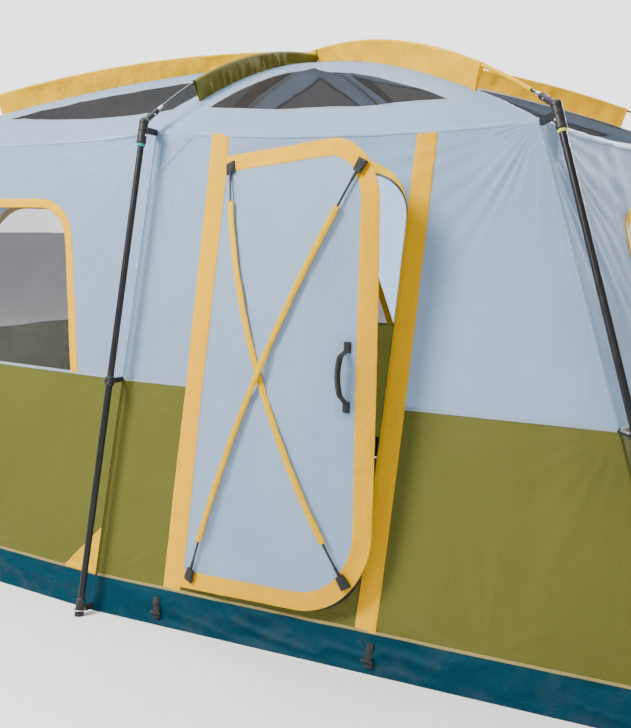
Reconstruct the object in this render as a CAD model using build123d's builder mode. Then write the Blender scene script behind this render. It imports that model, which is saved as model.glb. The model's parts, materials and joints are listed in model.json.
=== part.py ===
"""Family cabin tent with a hinged fabric door: three crossed roof poles on six legs.

Origin: centre of the footprint, on the ground. +X runs along the front wall towards its
door half, +Y from the front wall into the tent, +Z up. All sizes are in millimetres.
"""

from build123d import *
import os
from math import asin, cos, degrees, hypot, pi, radians, sin

os.makedirs("parts", exist_ok=True)

# ---------------------------------------------------------------- driving dimensions
BASE_X, BASE_Y, BASE_MID = 2100, 1404, 1530     # footprint: corners, and middle of the long walls
TOP_X, TOP_Y, TOP_MID = 1440, 1073.6, 1160      # the same corners at the eaves
EAVE, PEAK = 1750, 2138                         # fabric heights
SEAM, TUB = 835, 130                            # seam between the two wall colours, tub edge
CLOTH, GAP = 3, 1.5                             # cloth thickness, space between neighbours

LEG_R, LEG_BORE = 12, 10.6
POLE_R, SLEEVE_R = 5, 8
ARCH_STACK = 14                                 # one pole above the next at the crossing
SLEEVE_WEB = 72                                 # depth of the cloth fin under a roof pole
SLEEVE_END = 0.80                               # share of the half span that a sleeve covers

STRIP_LEFT, STRIP_RIGHT, STRIP_W = 284, 1076, 70
STRIP_LEAN = 50                                 # the strip at the hinge, further in at its foot
SILL, DOOR_HEAD, TRIM_HEAD = 165, 1612, 1655    # doorway, by height
DOOR_CORNER, TRIM_CORNER = 160, 205             # round upper corner away from the hinge
LEAF_W, LEAF_FOOT, LEAF_TOP = 740, 151, 1686    # leaf, measured along its hinge line
LEAF_CORNER_TOP, LEAF_CORNER_LOW, BORDER = 214, 276, 60
FOOT_AJAR, TOP_AJAR = 2.5, 18.5                 # the leaf stands twisted by its sprung rods
LEAF_BOW, HINGE_OFF, HINGE_EDGE = 90, 10, 6
END_BOW = 0.02                                  # share of the bow left at the leaf's ends
ROD_R, ROD_SLEEVE_R = 4, 6.5

WINDOW_TOP, WINDOW_CORNER = 1480, 190
WINDOW_FOOT_W, WINDOW_HEAD_W = 1240, 880
TRIM_W, TRIM_T, TRIM_LAP = 38, 1.5, 8           # trim laps over the screen's edge
PATCH_GAP = 0.3                                 # a sewn-on patch above the cloth under it

# ---------------------------------------------------------------- corners and walls
RING = ["front_left", "front_middle", "front_right", "back_right", "back_middle", "back_left"]
WALLS = {
    "front_left": ("front_left", "front_middle"),
    "front_right": ("front_middle", "front_right"),
    "right": ("front_right", "back_right"),
    "back_right": ("back_right", "back_middle"),
    "back_left": ("back_middle", "back_left"),
    "left": ("back_left", "front_left"),
}


def corner(name, height):
    """Point on the wall edge at the named corner, at a height."""
    side = -1 if name.startswith("front") else 1
    hand = {"left": -1, "middle": 0, "right": 1}[name.split("_")[1]]
    low = Vector(hand * BASE_X, side * (BASE_Y if hand else BASE_MID), 0)
    high = Vector(hand * TOP_X, side * (TOP_Y if hand else TOP_MID), EAVE)
    return low + (high - low) * (height / EAVE)


def wall_plane(wall):
    """Inner face of a wall: x along its foot, y up the slope, z outwards."""
    a, b = WALLS[wall]
    foot = corner(b, 0) - corner(a, 0)
    return Plane(corner(a, 0), x_dir=foot, z_dir=foot.cross(corner(a, EAVE) - corner(a, 0)))


def local_points(plane, points):
    """Points given in the tent's frame, as (x, y) on a plane."""
    found = [plane.to_local_coords(p) for p in points]
    return [(p.X, p.Y) for p in found]


def wall_outline(wall, low, high):
    """Four corners of a wall between two heights, on the wall's plane."""
    a, b = WALLS[wall]
    return local_points(wall_plane(wall), [corner(a, low), corner(b, low), corner(b, high), corner(a, high)])


def save(builder, name, colour):
    """Label a finished piece and write its STEP."""
    builder.part.label = name
    builder.part.color = Color(*colour)
    export_step(builder.part, f"parts/{name}.step")


BLUE, OLIVE, TEAL = (0.68, 0.74, 0.79), (0.50, 0.50, 0.27), (0.10, 0.31, 0.37)
YELLOW, MESH, BLACK = (0.90, 0.70, 0.27), (0.30, 0.30, 0.32), (0.14, 0.14, 0.15)
SLEEVE_OLIVE, STEEL = (0.43, 0.41, 0.12), (0.6, 0.6, 0.62)

# ---------------------------------------------------------------- floor and tub
with BuildPart() as floor_sheet:
    with BuildSketch(Plane.XY):
        Polygon(*[(corner(n, 0).X, corner(n, 0).Y) for n in RING], align=None)
        offset(amount=-GAP, kind=Kind.INTERSECTION)
    extrude(amount=CLOTH)
save(floor_sheet, "floor_sheet", TEAL)

with BuildPart() as tub_band:
    for wall in WALLS:
        with BuildSketch(wall_plane(wall)):
            Polygon(*wall_outline(wall, CLOTH + GAP, TUB), align=None)
            offset(amount=-GAP / 2, kind=Kind.INTERSECTION)
        extrude(amount=CLOTH)
save(tub_band, "tub_band", TEAL)


# ---------------------------------------------------------------- windows and plain walls
def window_outline(wall, grow):
    """Outline of a window: its foot is the colour seam, its top corners are round."""
    plane = wall_plane(wall)
    a, b = WALLS[wall]
    left_low, right_low = local_points(plane, [corner(a, SEAM), corner(b, SEAM)])
    left_top, right_top = local_points(plane, [corner(a, WINDOW_TOP), corner(b, WINDOW_TOP)])
    low, top = left_low[1] + 2 * GAP, left_top[1] + grow
    middle = (left_low[0] + right_low[0]) / 2
    foot, head = WINDOW_FOOT_W / 2 + grow, WINDOW_HEAD_W / 2 + grow
    points = [(middle - foot, low), (middle + foot, low), (middle + head, top), (middle - head, top)]
    outline = Polygon(*points, align=None)
    upper = outline.vertices().sort_by(Axis.Y)[-2:]
    fillet(upper, WINDOW_CORNER + grow)


WINDOW_WALLS = [wall for wall in WALLS if wall != "front_right"]
for wall in WINDOW_WALLS:
    with BuildPart() as lower:
        with BuildSketch(wall_plane(wall)):
            Polygon(*wall_outline(wall, TUB, SEAM), align=None)
            offset(amount=-GAP / 2, kind=Kind.INTERSECTION)
        extrude(amount=CLOTH)
    save(lower, f"wall_{wall}_lower", OLIVE)
    with BuildPart() as upper:
        with BuildSketch(wall_plane(wall)):
            Polygon(*wall_outline(wall, SEAM, EAVE), align=None)
            offset(amount=-GAP / 2, kind=Kind.INTERSECTION)
        extrude(amount=CLOTH)
        with BuildSketch(wall_plane(wall)):
            window_outline(wall, 0)
        extrude(amount=CLOTH, mode=Mode.SUBTRACT)
    save(upper, f"wall_{wall}_upper", BLUE)

with BuildPart() as window_screens:
    for wall in WINDOW_WALLS:
        with BuildSketch(wall_plane(wall).offset(CLOTH / 3)):
            window_outline(wall, 0)
            offset(amount=-GAP / 2, kind=Kind.INTERSECTION)
        extrude(amount=CLOTH / 3)
save(window_screens, "window_screens", MESH)

with BuildPart() as window_trims:
    for wall in WINDOW_WALLS:
        with BuildSketch(wall_plane(wall).offset(CLOTH + PATCH_GAP)):
            window_outline(wall, TRIM_W - TRIM_LAP)
        extrude(amount=TRIM_T)
        with BuildSketch(wall_plane(wall).offset(CLOTH)):
            window_outline(wall, -TRIM_LAP)
        extrude(amount=2 * TRIM_T, mode=Mode.SUBTRACT)
save(window_trims, "window_trims", YELLOW)

# ---------------------------------------------------------------- door wall
DOOR_PLANE = wall_plane("front_right")


def place_strip(edge, height):
    """x of an upright edge at a height; the edges on the hinge side lean."""
    lean = STRIP_LEAN if edge < (STRIP_LEFT + STRIP_RIGHT) / 2 else 0
    return edge + lean * (1 - height / EAVE)


def door_wall_point(edge, height):
    """Point of the door wall on an upright edge: an x value, or the name of a corner."""
    a, b = corner("front_middle", height), corner("front_right", height)
    if isinstance(edge, str):
        return corner(edge, height)
    return a + (b - a) * (place_strip(edge, height) / b.X)


def door_wall_points(edges, low, high):
    """Four corners of a piece of the door wall, on its plane."""
    places = [(edges[0], low), (edges[1], low), (edges[1], high), (edges[0], high)]
    return local_points(DOOR_PLANE, [door_wall_point(*p) for p in places])


def door_wall_piece(name, edges, low, high, colour):
    """Flat piece of the door wall between two upright edges and two heights."""
    with BuildPart() as piece:
        with BuildSketch(DOOR_PLANE):
            Polygon(*door_wall_points(edges, low, high), align=None)
            offset(amount=-GAP / 2, kind=Kind.INTERSECTION)
        extrude(amount=CLOTH)
    save(piece, name, colour)


half = STRIP_W / 2
left_strip = (STRIP_LEFT - half, STRIP_LEFT + half)
right_strip = (STRIP_RIGHT - half, STRIP_RIGHT + half)
door_wall_piece("door_wall_left_lower", ("front_middle", left_strip[0]), TUB, SEAM, OLIVE)
door_wall_piece("door_wall_left_upper", ("front_middle", left_strip[0]), SEAM, EAVE, BLUE)
door_wall_piece("door_wall_right_lower", (right_strip[1], "front_right"), TUB, SEAM, OLIVE)
door_wall_piece("door_wall_right_upper", (right_strip[1], "front_right"), SEAM, EAVE, BLUE)
door_wall_piece("door_strip_left", left_strip, TUB, EAVE, YELLOW)
door_wall_piece("door_strip_right", right_strip, TUB, EAVE, YELLOW)
door_wall_piece("door_sill", (left_strip[1], right_strip[0]), TUB, SILL, OLIVE)

doorway = (left_strip[1], right_strip[0])


def doorway_head(top, radius, grow):
    """Doorway outline with its round upper corner, from well below the corner."""
    outline = Polygon(*door_wall_points(doorway, top - 2 * radius, top), align=None)
    fillet(outline.vertices().sort_by(Axis.X)[-2:].sort_by(Axis.Y)[-1], radius)
    offset(amount=grow)


with BuildPart() as door_header:
    with BuildSketch(DOOR_PLANE):
        Polygon(*door_wall_points(doorway, TRIM_HEAD - TRIM_CORNER, EAVE), align=None)
        offset(amount=-GAP / 2, kind=Kind.INTERSECTION)
    extrude(amount=CLOTH)
    with BuildSketch(DOOR_PLANE):
        doorway_head(TRIM_HEAD, TRIM_CORNER, GAP / 2)
    extrude(amount=CLOTH, mode=Mode.SUBTRACT)
save(door_header, "door_header", BLUE)

with BuildPart() as door_arch_trim:
    with BuildSketch(DOOR_PLANE):
        Polygon(*door_wall_points(doorway, DOOR_HEAD - DOOR_CORNER, TRIM_HEAD + CLOTH), align=None)
        offset(amount=-GAP / 2, kind=Kind.INTERSECTION)
    extrude(amount=CLOTH)
    with BuildSketch(DOOR_PLANE):
        doorway_head(TRIM_HEAD, TRIM_CORNER, -GAP / 2)
    extrude(amount=CLOTH, mode=Mode.INTERSECT)
    with BuildSketch(DOOR_PLANE):
        doorway_head(DOOR_HEAD, DOOR_CORNER, 0)
    extrude(amount=CLOTH, mode=Mode.SUBTRACT)
save(door_arch_trim, "door_arch_trim", YELLOW)

# ---------------------------------------------------------------- roof cloth
UP = Vector(0, 0, 1)
ROOF_SAG = 2010                                 # height of the cloth half way up
ROOF_SEAM_HALF = 2.8                            # half the slot for a sleeve's fin
MESH_FOOT, MESH_MARGIN = 0.83, 84               # share of the way out, margin beside the poles


def wedge(wall, share, inset):
    """Plan outline of a roof sector, out to a share of the eave, inset all round."""
    a, b = (corner(n, EAVE) * share for n in WALLS[wall])
    Polygon((0, 0), (a.X, a.Y), (b.X, b.Y), align=None)
    offset(amount=-inset, kind=Kind.INTERSECTION)


for wall in WALLS:
    a, b = (corner(n, EAVE) for n in WALLS[wall])
    run = Vector(b.X - a.X, b.Y - a.Y, 0).normalized()
    out = run.cross(UP)
    reach = a.dot(out)
    mesh_share = MESH_FOOT + MESH_MARGIN / reach
    with BuildPart() as sector:
        with BuildSketch(Plane((0, 0, 0), x_dir=out, z_dir=out.cross(UP))):
            with BuildLine():
                under = ThreePointArc((0, PEAK), (reach / 2, ROOF_SAG), (reach - GAP / 2, EAVE + GAP))
                over = ThreePointArc(*[p + Vector(0, CLOTH) for p in (under @ 0, under @ 0.5, under @ 1)])
                Line(under @ 0, over @ 0)
                Line(under @ 1, over @ 1)
            make_face()
        extrude(amount=BASE_X, both=True)
        with BuildSketch(Plane.XY.offset(EAVE - 100)):
            wedge(wall, 1.2, ROOF_SEAM_HALF)
        extrude(amount=PEAK, mode=Mode.INTERSECT)
    with BuildPart() as border:
        add(sector.part)
        with BuildSketch(Plane.XY.offset(EAVE - 100)):
            wedge(wall, mesh_share, MESH_MARGIN)
        extrude(amount=PEAK, mode=Mode.SUBTRACT)
    save(border, f"roof_{wall}_border", BLUE)
    with BuildPart() as mesh:
        add(sector.part)
        with BuildSketch(Plane.XY.offset(EAVE - 100)):
            wedge(wall, mesh_share, MESH_MARGIN + GAP / 2)
        extrude(amount=PEAK, mode=Mode.INTERSECT)
    save(mesh, f"roof_{wall}_mesh", MESH)

# ---------------------------------------------------------------- roof poles and sleeves
SOCKET_OUT, SOCKET_Z, POLE_SEAT = 8, 1824, 42   # pole leaves its socket just above the eave corner
CROWN = {"middle": 2162, "left": 2162 + ARCH_STACK, "right": 2162 + 2 * ARCH_STACK}
SLEEVE_START, SLEEVE_FIN = 40, 4                # sleeves stop short of the crossing; their fin
ROD_FIT = 0.4                                   # space round a pole or rod in its sleeve
ARCHES = {"middle": SLEEVE_OLIVE, "left": YELLOW, "right": YELLOW}


class Arch:
    """Circular arc of one roof pole in its upright plane, from a front corner over the crown."""

    def __init__(self, name):
        eave = corner("front_" + name, EAVE)
        self.span = hypot(eave.X, eave.Y) + SOCKET_OUT
        self.out = Vector(eave.X, eave.Y, 0).normalized()
        rise = CROWN[name] - SOCKET_Z
        self.radius = (self.span**2 + rise**2) / (2 * rise)
        self.centre = Vector(0, 0, CROWN[name] - self.radius)

    def angle(self, distance):
        return asin(distance / self.radius)

    def point(self, angle):
        return self.centre + self.out * (self.radius * sin(angle)) + UP * (self.radius * cos(angle))

    def tangent(self, angle):
        return self.out * cos(angle) - UP * sin(angle)

    def section(self, angle):
        """Plane across the pole, y away from the arc's centre."""
        return Plane(self.point(angle), x_dir=UP.cross(self.out), z_dir=self.tangent(angle))

    def axis(self):
        return Axis(self.centre, UP.cross(self.out))


for name, colour in ARCHES.items():
    arch = Arch(name)
    end = arch.angle(arch.span) + POLE_SEAT / arch.radius
    with BuildPart() as pole:
        with BuildSketch(arch.section(-end)):
            Circle(POLE_R)
        revolve(axis=arch.axis(), revolution_arc=degrees(2 * end))
    save(pole, f"roof_pole_{name}", BLACK)
    first, last = arch.angle(SLEEVE_START), arch.angle(arch.span * SLEEVE_END)
    with BuildPart() as sleeve:
        for start in (first, -last):
            with BuildSketch(arch.section(start)):
                Circle(SLEEVE_R)
                with Locations((0, -SLEEVE_WEB / 2)):
                    Rectangle(SLEEVE_FIN, SLEEVE_WEB)
                Circle(POLE_R + ROD_FIT, mode=Mode.SUBTRACT)
            revolve(axis=arch.axis(), revolution_arc=degrees(last - first))
    save(sleeve, f"roof_sleeve_{name}", colour)

# ---------------------------------------------------------------- legs and their fittings
SOCKET_REACH, HUB_R, POLE_SOCKET_R = 88, 17, 11.5
HUB_DEPTH, HUB_BALL, LEG_SEAT = 78, 18, 15      # leg socket, round elbow, start of the bore
HUB_ARM_START, HUB_ARM_Z = 28, EAVE - 8         # arm from below the elbow to the wall's corner
HUB_ARM_H, HUB_ARM_T = 22, 14
FOOT_OUT_CORNER, FOOT_OUT_MIDDLE = (60, 96), 70
JOINT_Z, FERRULE, FERRULE_BORE = 850, 60, 9
CLIP_CLEAR = 9                                  # an arm's end clear of the cloth
TUBE_FIT = 0.1                                  # space between a tube and the fitting round it
FITTING_WALL, FOOT_CUP, FOOT_RING_Z = 4, 60, 22
ARCH_OF = {                                     # each corner's roof pole, and which end of it
    "front_left": ("left", 1), "front_middle": ("middle", 1), "front_right": ("right", 1),
    "back_right": ("left", -1), "back_middle": ("middle", -1), "back_left": ("right", -1),
}


def leg_line(name):
    """Elbow at the top of a leg, its foot on the ground, and where the roof pole leaves its socket."""
    arch_name, end = ARCH_OF[name]
    arch = Arch(arch_name)
    angle = end * arch.angle(arch.span)
    elbow = arch.point(angle) + arch.tangent(angle) * (end * SOCKET_REACH)
    base = corner(name, 0)
    out_x, out_y = (0, FOOT_OUT_MIDDLE) if name.endswith("middle") else FOOT_OUT_CORNER
    foot = base + Vector(out_x * (1 if base.X > 0 else -1), out_y * end * -1, 0)
    return elbow, foot, arch.point(angle)


def along(start, direction):
    """Plane across a rod at a point, its normal along the rod."""
    return Plane(start, z_dir=direction)


def at_height(elbow, down, height):
    """Point of a leg's line at a height."""
    return elbow + down * ((elbow.Z - height) / -down.Z)


legs = {name: leg_line(name) for name in RING}

with BuildPart() as leg_upper:
    for elbow, foot, exit_point in legs.values():
        down = (foot - elbow).normalized()
        joint = at_height(elbow, down, JOINT_Z)
        with BuildSketch(along(elbow + down * (LEG_SEAT + 0.5), down)):
            Circle(LEG_R)
            Circle(LEG_BORE, mode=Mode.SUBTRACT)
        extrude(amount=(joint - elbow).length - LEG_SEAT - 0.5)
save(leg_upper, "leg_upper", BLACK)

with BuildPart() as leg_lower:
    for elbow, foot, exit_point in legs.values():
        down = (foot - elbow).normalized()
        joint = at_height(elbow, down, JOINT_Z)
        with BuildSketch(along(joint + down * 0.5, down)):
            Circle(LEG_R)
            Circle(FERRULE_BORE, mode=Mode.SUBTRACT)
        extrude(amount=(foot - joint).length - 30)
        with BuildSketch(along(joint - down * FERRULE, down)):
            Circle(LEG_BORE - 0.1)
            Circle(FERRULE_BORE, mode=Mode.SUBTRACT)
        extrude(amount=FERRULE + 1)
save(leg_lower, "leg_lower", BLACK)

with BuildPart() as leg_feet:
    for elbow, foot, exit_point in legs.values():
        down = (foot - elbow).normalized()
        with BuildSketch(along(foot - down * FOOT_CUP, down)):
            Circle(LEG_R + FITTING_WALL)
        extrude(amount=1.25 * FOOT_CUP)
        with BuildSketch(along(foot - down * (FOOT_CUP + 1), down)):
            Circle(LEG_R + TUBE_FIT)
        extrude(amount=FOOT_CUP / 2 + 2, mode=Mode.SUBTRACT)
    with BuildSketch(Plane.XY.offset(-FOOT_CUP)):
        Rectangle(3 * BASE_X, 3 * BASE_X)
    extrude(amount=FOOT_CUP, mode=Mode.SUBTRACT)
save(leg_feet, "leg_feet", BLACK)

with BuildPart() as hubs:
    for name, (elbow, foot, exit_point) in legs.items():
        down = (foot - elbow).normalized()
        across = (exit_point - elbow).normalized()
        with BuildSketch(along(elbow, down)):
            Circle(HUB_R)
        extrude(amount=HUB_DEPTH)
        with BuildSketch(along(elbow, across)):
            Circle(POLE_SOCKET_R)
        extrude(amount=SOCKET_REACH)
        with Locations(elbow):
            Sphere(HUB_BALL)
        arm_start = elbow + down * HUB_ARM_START
        reach = corner(name, HUB_ARM_Z) - arm_start
        with BuildSketch(Plane(arm_start, x_dir=UP.cross(reach), z_dir=reach)):
            Rectangle(HUB_ARM_T, HUB_ARM_H)
        extrude(amount=reach.length - CLIP_CLEAR)
        with BuildSketch(along(elbow + down * LEG_SEAT, down)):
            Circle(LEG_R + TUBE_FIT)
        extrude(amount=HUB_DEPTH, mode=Mode.SUBTRACT)
        with BuildSketch(along(exit_point - across * (POLE_SEAT + 3), across)):
            Circle(POLE_R + ROD_FIT)
        extrude(amount=POLE_SEAT + 5, mode=Mode.SUBTRACT)
save(hubs, "hubs", BLACK)

with BuildPart() as hub_rings:
    for elbow, foot, exit_point in legs.values():
        down = (foot - elbow).normalized()
        with BuildSketch(along(elbow + down * (HUB_DEPTH + 2), down)):
            Circle(LEG_R + 3.5)
            Circle(LEG_R + TUBE_FIT, mode=Mode.SUBTRACT)
        extrude(amount=12)
save(hub_rings, "hub_rings", (0.12, 0.55, 0.5))


CLIP_COLLAR, CLIP_ARM, CLIP_T = 24, 18, 8       # length of the collar, depth and thickness of the arm
with BuildPart() as leg_clips:
    for name, (elbow, foot, exit_point) in legs.items():
        down = (foot - elbow).normalized()
        on_leg = at_height(elbow, down, SEAM)
        reach = corner(name, SEAM) - on_leg
        with BuildSketch(Plane(on_leg, z_dir=reach)):
            Rectangle(CLIP_ARM, CLIP_T)
        extrude(amount=reach.length - CLIP_CLEAR)
        with BuildSketch(along(on_leg - down * CLIP_COLLAR / 2, down)):
            Circle(LEG_R + FITTING_WALL)
        extrude(amount=CLIP_COLLAR)
        with BuildSketch(along(on_leg - down * CLIP_COLLAR, down)):
            Circle(LEG_R + TUBE_FIT)
        extrude(amount=2 * CLIP_COLLAR, mode=Mode.SUBTRACT)
save(leg_clips, "leg_clips", BLACK)

STRAP_W, STRAP_T, STRAP_Z, STRAP_START = 25, 2.5, 20, 9
RING_IN, RING_OUT, RING_T = LEG_R + 6, LEG_R + 13, 2
with BuildPart() as foot_straps:
    for name, (elbow, foot, exit_point) in legs.items():
        start = corner(name, STRAP_Z)
        ring = foot + (elbow - foot) * (FOOT_RING_Z / elbow.Z)
        reach = Vector(ring.X - start.X, ring.Y - start.Y, 0)
        toward = reach.normalized()
        start = start + toward * STRAP_START
        with BuildSketch(Plane(start, z_dir=toward)):
            Rectangle(STRAP_T, STRAP_W)
        extrude(amount=reach.length - STRAP_START - RING_OUT)
save(foot_straps, "foot_straps", BLACK)

with BuildPart() as foot_rings:
    for elbow, foot, exit_point in legs.values():
        ring = foot + (elbow - foot) * (FOOT_RING_Z / elbow.Z)
        with BuildSketch(Plane(ring)):
            Circle(RING_OUT - 1)
            Circle(RING_IN, mode=Mode.SUBTRACT)
        extrude(amount=RING_T)
save(foot_rings, "foot_rings", STEEL)

# ---------------------------------------------------------------- small fittings on the cloth
LOOP_Z, LOOP_W, LOOP_H = 58, 30, 84             # stake loops: webbing, then the raised toggle
TOGGLE_DROP, TOGGLE_W, TOGGLE_H, TOGGLE_T = 22, 34, 30, 9
LOOP_SPOTS = {"front_left": (0.3, 0.7), "front_right": (0.135, 0.53), "back_right": (0.3, 0.7),
              "back_left": (0.3, 0.7), "right": (0.3, 0.7), "left": (0.3, 0.7)}
with BuildPart() as stake_loops:
    for wall, shares in LOOP_SPOTS.items():
        a, b = WALLS[wall]
        for share in shares:
            spot = corner(a, LOOP_Z) + (corner(b, LOOP_Z) - corner(a, LOOP_Z)) * share
            plane = wall_plane(wall)
            x, y = local_points(plane, [spot])[0]
            with BuildSketch(plane.offset(CLOTH + PATCH_GAP)):
                with Locations((x, y)):
                    RectangleRounded(LOOP_W, LOOP_H, 4)
            extrude(amount=CLOTH)
            with BuildSketch(plane.offset(2 * CLOTH + PATCH_GAP)):
                with Locations((x, y - TOGGLE_DROP)):
                    RectangleRounded(TOGGLE_W, TOGGLE_H, 5)
            extrude(amount=TOGGLE_T)
save(stake_loops, "stake_loops", BLACK)

PATCH_EDGE = 12                                 # patch edge to the wall's corner
PORT_PATCH = [("front_middle", 290, 0), ("front_middle", 134, 0), ("front_middle", 134, 150)]
with BuildPart() as cable_port_patch:
    plane = wall_plane("front_left")
    outline = []
    for name, height, away in PORT_PATCH:
        at = corner(name, height)
        outline.append(at + (corner("front_left", height) - at).normalized() * (PATCH_EDGE + away))
    with BuildSketch(plane.offset(CLOTH + PATCH_GAP)):
        Polygon(*local_points(plane, outline), align=None)
    extrude(amount=TRIM_T)
save(cable_port_patch, "cable_port_patch", YELLOW)

# ---------------------------------------------------------------- door leaf
hinge_low = door_wall_point(left_strip[1], 0)
hinge_high = door_wall_point(left_strip[1], EAVE)
hinge_run = hinge_high - hinge_low
hinge_start = hinge_low + DOOR_PLANE.z_dir * HINGE_OFF
HINGE = Plane(hinge_start, x_dir=hinge_run.cross(DOOR_PLANE.z_dir), z_dir=hinge_run)
# HINGE: z up the hinge line, x across the closed leaf, y into the tent
LEAF_SPAN = LEAF_TOP - LEAF_FOOT
MEAN_AJAR = (FOOT_AJAR + TOP_AJAR) / 2


def leaf_point(across, share, off=0.0):
    """Point off the leaf's middle surface, outwards, in the hinge's coordinates.

    share runs from the leaf's foot (0) to its head (1); the leaf is more ajar at its head.
    """
    angle = radians(FOOT_AJAR + (TOP_AJAR - FOOT_AJAR) * share)
    part = across / LEAF_W
    bow = 4 * LEAF_BOW * part * (1 - part) * (END_BOW + (1 - END_BOW) * sin(pi * share)) + off
    height = LEAF_FOOT + LEAF_SPAN * share
    return Vector(across * cos(angle) - bow * sin(angle), -across * sin(angle) - bow * cos(angle), height)


def leaf_place(across, share, off=0.0):
    """The same point in the tent's frame."""
    return HINGE.from_local_coords(leaf_point(across, share, off))


with BuildPart() as leaf:
    for share in (0, 0.25, 0.5, 0.75, 1):
        with BuildSketch(HINGE.offset(LEAF_FOOT + LEAF_SPAN * share)):
            with BuildLine():
                faces = []
                for off in (-CLOTH / 2, CLOTH / 2):
                    points = [leaf_point(x, share, off) for x in (HINGE_EDGE, LEAF_W / 2, LEAF_W)]
                    faces.append(ThreePointArc(*[(p.X, p.Y) for p in points]))
                Line(faces[0] @ 0, faces[1] @ 0)
                Line(faces[0] @ 1, faces[1] @ 1)
            make_face()
    loft()

mean_across = HINGE.x_dir * cos(radians(MEAN_AJAR)) - HINGE.y_dir * sin(radians(MEAN_AJAR))
LEAF_PLANE = Plane(HINGE.origin, x_dir=mean_across, z_dir=mean_across.cross(HINGE.z_dir))
# LEAF_PLANE: x across the leaf, y up the hinge line, z outwards
LEAF_EDGE = LEAF_W * cos(radians((TOP_AJAR - FOOT_AJAR) / 2))


def leaf_outline(inset, hinge_side):
    """Outline of the leaf with round corners on its free side."""
    low, high, right = LEAF_FOOT + inset, LEAF_TOP - inset, LEAF_EDGE - inset
    Polygon((hinge_side, low), (right, low), (right, high), (hinge_side, high), align=None)
    fillet(vertices().sort_by(Axis.Y)[:2].sort_by(Axis.X)[-1], LEAF_CORNER_LOW - inset)
    fillet(vertices().sort_by(Axis.Y)[-2:].sort_by(Axis.X)[-1], LEAF_CORNER_TOP - inset)


LEAF_DEPTH = 400
with BuildPart() as door_panel:
    add(leaf.part)
    with BuildSketch(LEAF_PLANE.offset(-LEAF_DEPTH / 2)):
        leaf_outline(BORDER + GAP / 2, -50)
    extrude(amount=LEAF_DEPTH, mode=Mode.INTERSECT)
save(door_panel, "door_panel", BLUE)

with BuildPart() as door_border:
    add(leaf.part)
    with BuildSketch(LEAF_PLANE.offset(-LEAF_DEPTH / 2)):
        leaf_outline(0, -50)
    extrude(amount=LEAF_DEPTH, mode=Mode.INTERSECT)
    with BuildSketch(LEAF_PLANE.offset(-LEAF_DEPTH / 2)):
        leaf_outline(BORDER, -60)
    extrude(amount=LEAF_DEPTH, mode=Mode.SUBTRACT)
save(door_border, "door_border", YELLOW)

# the two sprung rods: top end, middle and low end as (across, share of the height), and off the
# cloth where they cross
RODS = {
    "door_rod_back": ((48, 0.970), (331, 0.5), (656, 0.074), 10),
    "door_rod_front": ((677, 0.935), (355, 0.5), (48, 0.028), 26),
}
ROD_END_OFF, SLEEVE_FROM, SLEEVE_TO = 13, 0.10, 0.91
rod_arcs = {}
for name, (top_end, middle, low_end, off) in RODS.items():
    with BuildLine() as rod_line:
        ThreePointArc(leaf_place(*top_end, ROD_END_OFF), leaf_place(*middle, off),
                      leaf_place(*low_end, ROD_END_OFF))
    arc = rod_line.edges()[0]
    rod_arcs[name] = arc
    with BuildPart() as rod:
        with BuildSketch(Plane(arc @ 0, z_dir=arc % 0)):
            Circle(ROD_R)
        sweep(path=arc)
    save(rod, name, BLACK)

with BuildPart() as door_rod_sleeves:
    for arc in rod_arcs.values():
        middle = arc.trim(SLEEVE_FROM, SLEEVE_TO)
        with BuildSketch(Plane(middle @ 0, z_dir=middle % 0)):
            Circle(ROD_SLEEVE_R)
            Circle(ROD_R + ROD_FIT, mode=Mode.SUBTRACT)
        sweep(path=middle)
save(door_rod_sleeves, "door_rod_sleeves", YELLOW)

POCKET_L, POCKET_W, POCKET_T, POCKET_SEAT = 46, 36, 14, 30
with BuildPart() as door_pockets:
    for arc in rod_arcs.values():
        for end, inwards in ((arc @ 0, arc % 0), (arc @ 1, (arc % 1) * -1)):
            start = end + inwards * POCKET_SEAT
            with BuildSketch(Plane(start, x_dir=LEAF_PLANE.z_dir.cross(inwards), z_dir=inwards * -1)):
                RectangleRounded(POCKET_W, POCKET_T, 4)
            extrude(amount=POCKET_L)
            with BuildSketch(Plane(start + inwards, z_dir=inwards * -1)):
                Circle(ROD_R + ROD_FIT)
            extrude(amount=POCKET_SEAT + 2, mode=Mode.SUBTRACT)
save(door_pockets, "door_pockets", BLACK)

# handle: a webbing bar on two sewn ends, on a patch beside the free border
HANDLE_X, HANDLE_LOW, HANDLE_HIGH = 656, 0.445, 0.551
handle_low, handle_high = (leaf_place(HANDLE_X, s, 0) for s in (HANDLE_LOW, HANDLE_HIGH))
handle_out = (leaf_place(HANDLE_X, 0.5, 10) - leaf_place(HANDLE_X, 0.5, 0)).normalized()
handle_run = (handle_high - handle_low)
HANDLE = Plane((handle_low + handle_high) * 0.5, x_dir=handle_run, z_dir=handle_run.cross(handle_out))
# HANDLE: x up the leaf, y into the leaf, z towards its free edge
HANDLE_W, HANDLE_T, HANDLE_RISE, HANDLE_REACH = 22, 6, 24, 60
SEWN_END, SEWN_OFF = 34, 9                      # sewn end of the handle, and its height off the leaf
with BuildPart() as door_handle:
    with BuildSketch(HANDLE.offset(-HANDLE_W / 2)):
        for side in (-1, 1):
            with Locations((side * (HANDLE_REACH + SEWN_END / 2 + 3), -SEWN_OFF)):
                Rectangle(SEWN_END, HANDLE_T)
            with Locations((side * HANDLE_REACH, -SEWN_OFF - HANDLE_RISE / 2)):
                Rectangle(HANDLE_T, HANDLE_RISE)
        with Locations((0, -SEWN_OFF - HANDLE_RISE)):
            Rectangle(2 * HANDLE_REACH + HANDLE_T, HANDLE_T)
    extrude(amount=HANDLE_W)
save(door_handle, "door_handle", BLACK)

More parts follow.
